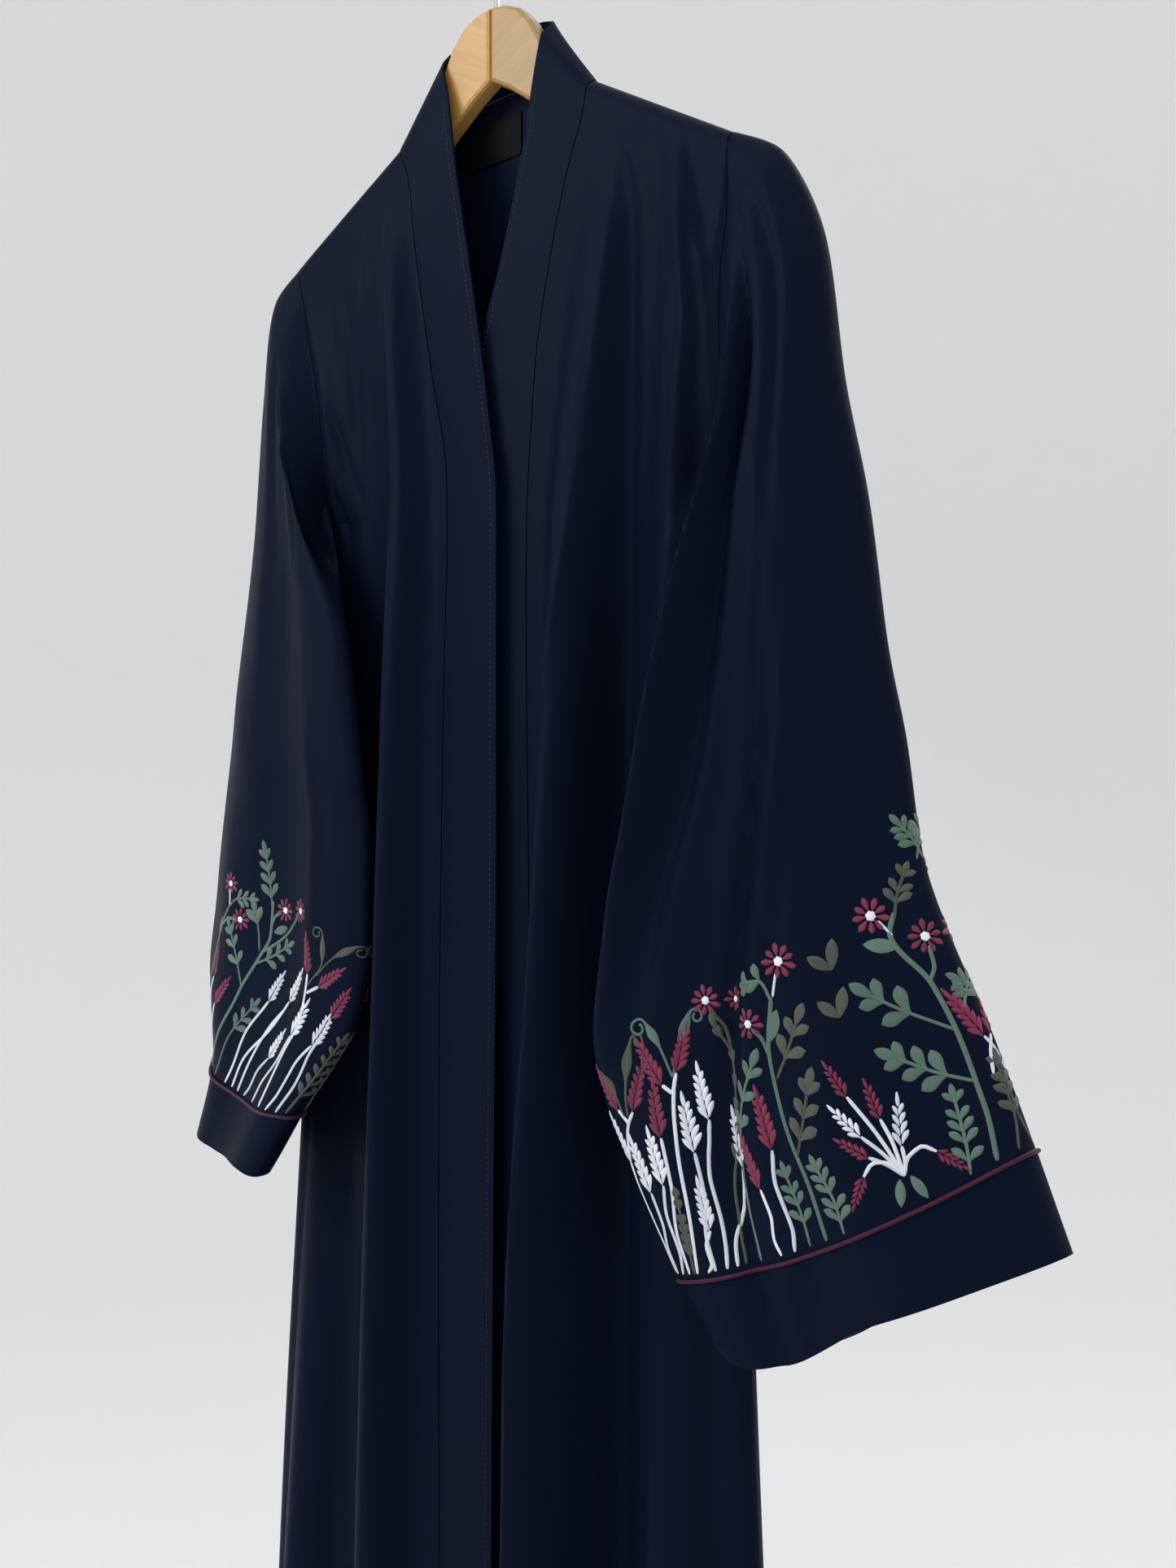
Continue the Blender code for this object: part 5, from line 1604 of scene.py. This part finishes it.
@dataclass
class SleeveEmbroidery:
    """Lays out the meadow of one sleeve: a meadow in front, and a like one behind."""

    side: Side
    chart: SleeveChart
    finishes: dict[Thread, bpy.types.Material]

    SCALES: ClassVar[dict[Side, tuple[float, float, float, float]]] = {
        Side.RIGHT: (0.205, 0.81, 0.85, 1.0), Side.LEFT: (0.150, 0.66, 0.74, 1.30)
    }

    def stalks(self, meadow: Meadow, rows: Sequence[Stalk]) -> None:
        """Stitches every stalk of a table, each with a slight sway."""
        for k, row in enumerate(rows):
            step = row.head_u - row.foot
            sway = 0.0014 * (1 if k % 2 else -1)
            low_bend = (row.foot + 0.22 * step + sway, 0.30 * row.head_v)
            high_bend = (row.foot + 0.60 * step - sway, 0.66 * row.head_v)
            knots = meadow.path((row.foot, meadow.low), low_bend, high_bend, (row.head_u, row.head_v))
            meadow.stem(Thread.WHITE, knots)
            meadow.head(row.thread, knots[-1], row.lean, row.ear)

    def right_meadow(self, meadow: Meadow) -> None:
        """Stitches the right sleeve's meadow from its inner end outward."""
        low, at, path = meadow.low, meadow.at, meadow.path
        white, maroon, sage, olive = Thread
        self.stalks(meadow, RIGHT_STALKS)
        meadow.stem(white, path((0.011, 0.082), (0.021, 0.106), (0.027, 0.114)))
        meadow.head(maroon, at(0.027, 0.114), 24, 0.036)
        meadow.stem(white, path((0.022, 0.107), (0.018, 0.117)))
        meadow.head(maroon, at(0.018, 0.117), -24, 0.034)
        meadow.stem(white, path((0.0515, 0.120), (0.0470, 0.126)))
        meadow.head(maroon, at(0.047, 0.126), -20, 0.036)
        meadow.tendril(olive, path((0.021, 0.106), (0.019, 0.128), (0.014, 0.142)), 0.45, 0.005, -1)
        meadow.tendril(olive, path((0.023, 0.112), (0.028, 0.140), (0.033, 0.160)), 0.40, 0.005, 1)
        meadow.tendril(sage, path((0.054, 0.130), (0.050, 0.152), (0.042, 0.168)), 0.42, 0.006, -1)
        meadow.tendril(sage, path((0.054, 0.130), (0.062, 0.152), (0.068, 0.166)), 0.44, 0.005, 1)
        meadow.spray(olive, path((0.0245, low), (0.028, 0.026), (0.0325, 0.056)), 0.12, 6, 0.010, 24)
        meadow.spray(
            olive, path((0.052, low), (0.0606, 0.054), (0.076, 0.093), (0.083, 0.127), (0.080, 0.152)),
            0.38, 6, 0.013, 20, 0.18,
        )
        meadow.stem(olive, path((0.0825, 0.128), (0.084, 0.148), (0.079, 0.166)))
        meadow.daisy(at(0.0775, 0.170), 0.0100, 9, 8)
        meadow.daisy(at(0.0930, 0.163), 0.0076, 8, 20)
        meadow.spray(
            sage, path((0.062, low), (0.067, 0.050), (0.078, 0.088), (0.098, 0.118)), 0.62, 3, 0.015, 40,
            0.20,
        )
        meadow.stem(
            sage, path((0.1026, low), (0.1045, 0.040), (0.1035, 0.070), (0.108, 0.116), (0.1185, 0.150)),
            0.00125,
        )
        meadow.spray(sage, path((0.1180, 0.148), (0.1155, 0.162), (0.1040, 0.167)), 0.36, 3, 0.0115, 50, 0.20)
        meadow.stem(sage, path((0.1085, 0.118), (0.1075, 0.130), (0.1045, 0.138)))
        meadow.daisy(at(0.1035, 0.142), 0.0100, 9, 0)
        meadow.leaf(sage, at(0.1110, 0.126), 42, 0.020)
        meadow.stem(white, path((0.1195, 0.150), (0.1240, 0.162)), 0.0007)
        meadow.daisy(at(0.1265, 0.168), 0.0112, 9, 12)
        meadow.spray(olive, path((0.1040, 0.056), (0.113, 0.072), (0.123, 0.092)), 0.14, 3, 0.015, 40)
        meadow.spray(olive, path((0.1085, 0.104), (0.119, 0.116), (0.128, 0.130)), 0.25, 2, 0.015, 44)
        meadow.spray(sage, path((0.0920, low), (0.0940, 0.026), (0.0935, 0.050)), 0.24, 4, 0.0120, 48, 0.18)
        meadow.spray(sage, path((0.1133, low), (0.1145, 0.024), (0.1120, 0.046)), 0.12, 5, 0.0125, 48, 0.18)
        meadow.sprig(at(0.1500, 0.148), 4, 0.0165)
        meadow.sprig(at(0.1470, 0.120), 10, 0.0160)
        meadow.bouquet(at(0.1480, 0.021), 6, 0.054)
        meadow.stem(
            sage,
            path(
                (0.187, low), (0.1895, 0.034), (0.1895, 0.064), (0.1875, 0.112), (0.1780, 0.150),
                (0.1825, 0.162),
            ),
            0.00130,
        )
        meadow.spray(
            olive, path((0.1820, 0.158), (0.1860, 0.170), (0.1920, 0.181)), 0.20, 3, 0.0115, 48, 0.19
        )
        meadow.stem(white, path((0.1790, 0.150), (0.1750, 0.162)), 0.0007)
        meadow.daisy(at(0.1725, 0.167), 0.0116, 9, 4)
        meadow.stem(sage, path((0.1865, 0.114), (0.1915, 0.122), (0.1925, 0.134)))
        meadow.daisy(at(0.1925, 0.140), 0.0108, 9, 16)
        meadow.leaf(sage, at(0.1800, 0.142), -58, 0.020)
        meadow.spray(sage, path((0.1885, 0.083), (0.174, 0.104), (0.162, 0.124)), 0.42, 2, 0.018, 42)
        meadow.spray(sage, path((0.1890, 0.051), (0.175, 0.066), (0.162, 0.084)), 0.22, 3, 0.017, 44)
        meadow.spray(sage, path((0.1745, low), (0.1770, 0.022), (0.1785, 0.048)), 0.12, 5, 0.0120, 48, 0.18)
        meadow.spray(olive, path((0.1975, low), (0.2015, 0.028), (0.2015, 0.056)), 0.36, 4, 0.0115, 48, 0.18)
        meadow.stem(white, path((0.2070, 0.050), (0.2045, 0.062), (0.2000, 0.072)))
        meadow.head(maroon, at(0.2000, 0.072), -16, 0.036)
        meadow.spray(sage, path((0.2090, 0.092), (0.2050, 0.100), (0.2000, 0.107)), 0.18, 2, 0.0125, 48, 0.20)
        meadow.spray(sage, path((0.2050, 0.186), (0.2000, 0.198), (0.1940, 0.210)), 0.20, 3, 0.0120, 48, 0.19)

    def left_meadow(self, meadow: Meadow) -> None:
        """Stitches the left sleeve's meadow from its inner end outward."""
        low, at, path = meadow.low, meadow.at, meadow.path
        white, maroon, sage, olive = Thread
        self.stalks(meadow, LEFT_STALKS)
        meadow.stem(white, path((0.070, low), (0.065, 0.040), (0.058, 0.080), (0.049, 0.104)))
        meadow.stem(white, path((0.0318, 0.130), (0.0250, 0.140)))
        meadow.head(maroon, at(0.0250, 0.140), -46, 0.034)
        meadow.tendril(olive, path((0.0320, 0.138), (0.0245, 0.166), (0.0250, 0.192)), 0.42, 0.0055, 1)
        meadow.tendril(olive, path((0.0275, 0.150), (0.0180, 0.172), (0.0060, 0.188)), 0.44, 0.0055, -1)
        meadow.stem(
            sage,
            path(
                (0.1140, low), (0.1030, 0.034), (0.0920, 0.070), (0.0850, 0.104), (0.0760, 0.140),
                (0.0710, 0.166), (0.0715, 0.200),
            ),
            0.00130,
        )
        meadow.spray(sage, path((0.0712, 0.190), (0.0740, 0.214), (0.0790, 0.246)), 0.10, 4, 0.0160, 36, 0.20)
        meadow.stem(sage, path((0.0745, 0.146), (0.0590, 0.174), (0.0480, 0.200)))
        meadow.daisy(at(0.0455, 0.204), 0.0112, 9, 6)
        meadow.stem(sage, path((0.0712, 0.174), (0.0690, 0.186), (0.0650, 0.192)))
        meadow.daisy(at(0.0620, 0.196), 0.0112, 9, 0)
        meadow.leaf(sage, at(0.0690, 0.170), -60, 0.0170, 0.22)
        meadow.spray(sage, path((0.0780, 0.132), (0.0690, 0.144), (0.0570, 0.164)), 0.22, 3, 0.0140, 46, 0.20)
        meadow.spray(sage, path((0.0765, 0.146), (0.0790, 0.166), (0.0820, 0.184)), 0.45, 1, 0.0170, 30, 0.22)
        meadow.spray(sage, path((0.0850, 0.104), (0.0900, 0.126), (0.0990, 0.158)), 0.30, 3, 0.0150, 42, 0.20)
        meadow.spray(sage, path((0.0990, low), (0.0890, 0.046), (0.0740, 0.092)), 0.54, 3, 0.0145, 42, 0.20)
        meadow.stem(sage, path((0.1240, 0.080), (0.1160, 0.120), (0.1080, 0.158), (0.1010, 0.180)))
        meadow.spray(sage, path((0.1015, 0.178), (0.0950, 0.190), (0.0850, 0.195)), 0.30, 3, 0.0115, 48, 0.19)
        meadow.daisy(at(0.1020, 0.202), 0.0104, 9, 10)
        meadow.stem(white, path((0.1010, 0.180), (0.1020, 0.196)), 0.0007)
        meadow.stem(sage, path((0.1080, 0.156), (0.1000, 0.167), (0.0940, 0.168)))
        meadow.daisy(at(0.0915, 0.170), 0.0108, 9, 3)
        meadow.leaf(sage, at(0.1120, 0.142), -8, 0.0200, 0.20)
        meadow.spray(
            olive, path((0.0070, low), (0.0050, 0.034), (0.0040, 0.064), (0.0030, 0.094)), 0.16, 6, 0.0130,
            36, 0.19,
        )

    def build(self) -> list[bpy.types.Object]:
        """Returns the joined pieces, one a thread, with the same meadow mirrored on the sleeve's back."""
        wide, tall, size, stretch = self.SCALES[self.side]
        meadow = Meadow(self.chart, wide=self.chart.front_width / wide, tall=tall, size=size, stretch=stretch)
        layout = self.right_meadow if self.side is Side.RIGHT else self.left_meadow
        layout(meadow)
        meadow.shift = self.chart.round_about
        meadow.hand = -1
        layout(meadow)
        pieces = []
        for thread, work in meadow.threads.items():
            piece = work.finish(f"embroidery_{self.side.value}_{thread.value}", self.finishes[thread])
            pieces.append(record_piece(piece, "cloth"))
        return pieces


class Finishes:
    """Every finish of the cloak and its hanger, built once."""

    def __init__(self) -> None:
        """Builds each finish."""
        self.cloth = SatinFinish().build()
        self.stitch = ThreadFinish("navy_stitching", (0.004, 0.006, 0.012), (0.010, 0.014, 0.026)).build()
        self.piping = CordFinish().build()
        self.label = LabelFinish().build()
        self.steel = SteelFinish().build()
        # One wood in two copies, as the light falls from the left: the left arm's lighter copy is painted
        # light and the right arm's darker copy is painted shade.
        self.wood_painted_light_left = WoodFinish("pale_wood_painted_light_left", (0.62, 0.355, 0.090), (0.39, 0.20, 0.044), -0.5).build()
        self.wood_painted_shade_right = WoodFinish(
            "pale_wood_painted_shade_right", (0.43, 0.25, 0.064), (0.27, 0.150, 0.031), 0.5
        ).build()

    @staticmethod
    def threads() -> dict[Thread, bpy.types.Material]:
        """Returns the four threads' finishes."""
        return {
            Thread.WHITE: ThreadFinish("white_thread", (0.50, 0.53, 0.60), (0.84, 0.87, 0.92)).build(),
            Thread.MAROON: ThreadFinish(
                "maroon_thread", (0.095, 0.005, 0.026), (0.230, 0.014, 0.064)
            ).build(),
            Thread.SAGE: ThreadFinish("sage_thread", (0.045, 0.100, 0.070), (0.110, 0.190, 0.145)).build(),
            Thread.OLIVE: ThreadFinish("olive_thread", (0.028, 0.038, 0.026), (0.070, 0.084, 0.060)).build(),
        }


@dataclass
class Cloak:
    """The cloak's cloth: back, fronts, bands, sleeves, cuffs, piping, label and stitching."""

    form: CloakForm
    finishes: Finishes
    cloth: float = 0.0009
    band_cloth: float = 0.0015
    cuff_cloth: float = 0.0014
    piping_radius: float = 0.0011
    label_width: float = 0.046
    label_height: float = 0.026
    label_drop: float = 0.014
    label_centre: float = -0.014
    label_tilt: float = 0.06
    stitch_pitch: float = 0.0034
    stitch_length: float = 0.0024
    sleeve_stations: int = 170

    def panels(self) -> tuple[np.ndarray, dict[Side, np.ndarray]]:
        """Returns the points of the back and of both fronts."""
        return self.form.back(), {side: self.form.front(side) for side in Side}

    def build_back(self, back: np.ndarray) -> bpy.types.Object:
        """Returns the back panel."""
        piece = make_sheet("cloak_back", back, self.finishes.cloth, self.cloth)
        return record_piece(piece, "cloth", "back_panel")

    def build_front(self, side: Side, front: np.ndarray) -> bpy.types.Object:
        """Returns one front panel."""
        piece = make_sheet(f"cloak_front_{side.value}", front, self.finishes.cloth, self.cloth)
        return record_piece(piece, "cloth", f"front_{side.value}")

    def build_band(self, side: Side, front: np.ndarray, back: np.ndarray) -> bpy.types.Object:
        """Returns one doubled front band with its half of the collar."""
        points = self.form.band(side, front, back)
        piece = make_sheet(f"cloak_band_{side.value}", points, self.finishes.cloth, self.band_cloth)
        return record_piece(piece, "cloth", f"band_{side.value}")

    def build_sleeve(self, side: Side, front: np.ndarray, back: np.ndarray) -> None:
        """Makes one sleeve with its embroidery, piping and cuff."""
        last = len(SLEEVES[side])
        rings = self.form.sleeve(side, front, back, np.linspace(0, last - 1, self.sleeve_stations))
        cuff_rings = self.form.sleeve(side, front, back, np.linspace(last - 1, last, 24))
        chart = SleeveChart(rings)
        LOG.info(
            "%s sleeve: %.0f mm round the piping, %.0f mm of it in front", side.value,
            1000 * chart.round_about, 1000 * chart.front_width,
        )
        embroidery = SleeveEmbroidery(side, chart, self.finishes.threads()).build()
        sleeve = make_sheet(f"cloak_sleeve_{side.value}", rings, self.finishes.cloth, self.cloth, closed=True)
        record_piece(sleeve, "cloth", f"sleeve_{side.value}")
        cuff = make_sheet(
            f"cloak_cuff_{side.value}", cuff_rings, self.finishes.cloth, self.cuff_cloth, closed=True
        )
        record_piece(cuff, "cloth", f"cuff_{side.value}")
        piping = self.build_piping(side, rings)

    def build_piping(self, side: Side, rings: np.ndarray) -> bpy.types.Object:
        """Returns the piping cord round a sleeve's end."""
        ring = rings[-1]
        tangent = np.roll(ring, -1, axis=0) - np.roll(ring, 1, axis=0)
        along = rings[-1] - rings[-3]
        normal = np.cross(tangent, along)
        normal /= np.linalg.norm(normal, axis=1, keepdims=True)
        normal *= np.sign(np.sum(normal * (ring - ring.mean(axis=0))))
        along /= np.linalg.norm(along, axis=1, keepdims=True)
        centre = ring + normal * (self.piping_radius + self.cloth / 2)
        turns = np.linspace(0, 2 * math.pi, 12, endpoint=False)
        points = np.stack(
            [centre + self.piping_radius * (normal * math.cos(a) + along * math.sin(a)) for a in turns],
            axis=0,
        )
        closed = np.concatenate([points, points[:1]], axis=0)
        closed = np.concatenate([closed, closed[:, :1]], axis=1)
        piece = make_grid(f"cloak_piping_{side.value}", closed)
        around = np.linspace(0, 2 * math.pi * self.piping_radius, len(closed))
        lay_uv(piece.data, np.stack(np.meshgrid(lengths(closed[0]), around), axis=2))
        weld_ends()
        piece.data.materials.append(self.finishes.piping)
        shade(piece)
        return record_piece(piece, "piping", f"piping_{side.value}")

    def build_label(self, back: np.ndarray) -> bpy.types.Object:
        """Returns the bare woven label inside the back panel, under the neckline."""
        middle = back.shape[1] // 2
        column = back[:, middle]
        top_z = column[0, 2] - self.label_drop
        across = np.linspace(-self.label_width / 2, self.label_width / 2, 24)
        rows = []
        for row_z in np.linspace(top_z, top_z - self.label_height, 14):
            z = row_z + across * self.label_tilt
            y = np.interp(-z, -column[:, 2], column[:, 1]) - 0.0013
            y = y - 0.0006 * lump(across / 0.02) * (top_z - row_z) / self.label_height
            rows.append(np.stack([self.label_centre + across, y, z], axis=1))
        piece = make_sheet("cloak_label", np.array(rows), self.finishes.label, 0.0007)
        return record_piece(piece, "label", "neck_label")

    def build_stitching(
        self, back: np.ndarray, fronts: dict[Side, np.ndarray], bands: dict[Side, np.ndarray]
    ) -> bpy.types.Object:
        """Returns the cloak's topstitching: round the hem, beside the bands and along the neckline."""
        work = ThreadWork()
        for points in fronts.values():
            self.stitch_row(work, points[-6, 2:-10], points[-7, 2:-10], np.array([0.0, -1.0, 0.0]))
        self.stitch_row(work, back[-6, 10:-10], back[-7, 10:-10], np.array([0.0, 1.0, 0.0]))
        self.stitch_row(work, back[3, 40:-40], back[5, 40:-40], np.array([0.0, -1.0, 0.0]))
        for points in bands.values():
            line = points[: self.form.body_rows + self.form.arm_rows - 10, -2]
            self.stitch_row(work, line, line, np.array([0.0, -1.0, 0.0]), extra=0.0004)
        piece = work.finish("cloak_topstitch", self.finishes.stitch)
        return record_piece(piece, "cloth")

    def stitch_row(
        self, work: ThreadWork, line: np.ndarray, beside: np.ndarray, facing: np.ndarray, extra: float = 0.0
    ) -> None:
        """Stitches one row along a line of the cloth.

        Args:
            work: The thread work that takes the stitches.
            line: The points of the row.
            beside: A neighbouring line of the same cloth, or the row itself.
            facing: The side of the cloth that shows the stitches.
            extra: Further lift for thicker cloth.
        """
        run = lengths(line)
        tangent = np.gradient(line, axis=0)
        across = beside - line if np.abs(beside - line).max() > 0 else np.cross(tangent, facing)
        normal = np.cross(tangent, across)
        normal /= np.linalg.norm(normal, axis=1, keepdims=True)
        normal *= np.sign(normal @ facing)[:, None]
        for start in np.arange(0.002, run[-1] - 0.004, self.stitch_pitch):
            at = start + np.linspace(0, self.stitch_length, 4)
            places = np.stack([np.interp(at, run, line[:, axis]) for axis in range(3)], axis=1)
            normals = np.stack([np.interp(at, run, normal[:, axis]) for axis in range(3)], axis=1)
            widths = np.array([0.00010, 0.00024, 0.00024, 0.00010])
            work.ribbon(places, normals, widths, 0.00022, self.cloth / 2 + extra, 0.4)

    def build(self) -> None:
        """Makes every cloth piece of the cloak."""
        back, fronts = self.panels()
        bands = {side: self.form.band(side, fronts[side], back) for side in Side}
        self.build_back(back)
        for side in Side:
            self.build_front(side, fronts[side])
            self.build_band(side, fronts[side], back)
            self.build_sleeve(side, fronts[side], back)
        self.build_label(back)
        self.build_stitching(back, fronts, bands)


@dataclass
class Hanger:
    """The wooden hanger and its wire hook, whose own solids take the finishes."""

    finishes: Finishes

    def dress(self, node: str, material: bpy.types.Material) -> None:
        """Gives one solid its finish."""
        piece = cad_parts[node]
        for slot in piece.material_slots:
            slot.material = material
        LOG.info("%s: %s", node, material.name)

    def build(self) -> None:
        """Dresses the hanger."""
        # The two arms take the painted-light and painted-shade copies of one wood.
        self.dress("hanger_arm_left", self.finishes.wood_painted_light_left)
        self.dress("hanger_arm_right", self.finishes.wood_painted_shade_right)
        self.dress("hanger_hook", self.finishes.steel)


@dataclass
class Studio:
    """A pale bowl of floor and wall, soft lights and the camera."""

    floor_z: float = -1.78
    floor_radius: float = 3.2
    wall_radius: float = 4.8
    wall_top: float = 3.6
    distance: float = 0.998
    shift: float = 0.0561
    height: float = -0.539
    angle: float = math.radians(40.0)
    focal_pixels: float = 2000.0
    frame_pixels: float = 1927.0

    def build_bowl(self) -> bpy.types.Object:
        """Returns the floor that turns up into the wall all round."""
        fillet = self.wall_radius - self.floor_radius
        profile = [(0.001, self.floor_z)] + [
            (r, self.floor_z) for r in np.linspace(0.4, self.floor_radius, 9)
        ]
        for a in np.linspace(0, math.pi / 2, 13)[1:]:
            profile.append(
                (self.floor_radius + fillet * math.sin(a), self.floor_z + fillet * (1 - math.cos(a)))
            )
        profile += [(self.wall_radius, z) for z in np.linspace(self.floor_z + fillet + 0.3, self.wall_top, 8)]
        turns = np.linspace(0, 2 * math.pi, 96, endpoint=False)
        rows = np.array([[(r * math.cos(a), r * math.sin(a), z) for a in turns] for r, z in profile])
        piece = make_grid("studio_bowl", np.concatenate([rows, rows[:, :1]], axis=1))
        piece.data.materials.append(PaintFinish().build())
        shade(piece, 60)
        return piece

    def add_light(
        self, name: str, place: Sequence[float], size: float, power: float, colour: Sequence[float]
    ) -> None:
        """Adds a soft square light that faces the cloak's middle."""
        data = bpy.data.lights.new(name, "AREA")
        data.shape = "SQUARE"
        data.size = size
        data.energy = power
        data.color = colour
        lamp = bpy.data.objects.new(name, data)
        bpy.context.scene.collection.objects.link(lamp)
        lamp.location = place
        aim = np.array([0.0, 0.0, -0.6]) - np.array(place)
        yaw = math.atan2(aim[1], aim[0])
        pitch = math.atan2(aim[2], math.hypot(aim[0], aim[1]))
        lamp.rotation_euler = (math.pi / 2 + pitch, 0.0, yaw - math.pi / 2)

    def build_lights(self) -> None:
        """Adds the lights and the pale world."""
        self.add_light("key_light", (-1.4, -2.8, 1.0), 1.7, 58.0, (0.97, 0.98, 1.0))
        self.add_light("fill_light", (2.6, -1.2, 0.6), 1.6, 4.0, (0.95, 0.97, 1.0))
        self.add_light("back_light", (0.6, 2.8, 1.2), 2.2, 26.0, (0.97, 0.98, 1.0))
        world = bpy.data.worlds.new("pale_world")
        world.use_nodes = True
        background = world.node_tree.nodes["Background"]
        background.inputs["Color"].default_value = (0.98, 0.98, 1.0, 1.0)
        background.inputs["Strength"].default_value = 1.12
        bpy.context.scene.world = world

    def build_camera(self) -> None:
        """Adds the camera where the picture was taken from."""
        data = bpy.data.cameras.new("camera")
        data.sensor_fit = "AUTO"
        data.sensor_width = 36.0
        data.lens = 36.0 * self.focal_pixels / self.frame_pixels
        data.clip_start = 0.05
        data.clip_end = 40.0
        camera = bpy.data.objects.new("camera", data)
        bpy.context.scene.collection.objects.link(camera)
        sine = math.sin(self.angle)
        cosine = math.cos(self.angle)
        camera.location = (
            self.distance * sine + self.shift * cosine,
            -self.distance * cosine + self.shift * sine,
            self.height,
        )
        camera.rotation_euler = (math.pi / 2, 0.0, self.angle)
        bpy.context.scene.camera = camera

    def build(self) -> None:
        """Sets the studio up."""
        self.build_bowl()
        self.build_lights()
        self.build_camera()
        bpy.context.scene.view_settings.view_transform = "Standard"


def main() -> None:
    """Builds the cloak on its hanger in the studio."""
    logging.basicConfig(level=logging.INFO, format="%(message)s")
    finishes = Finishes()
    Studio().build()
    Hanger(finishes).build()
    Cloak(CloakForm(), finishes).build()


if __name__ == "__main__":
    main()
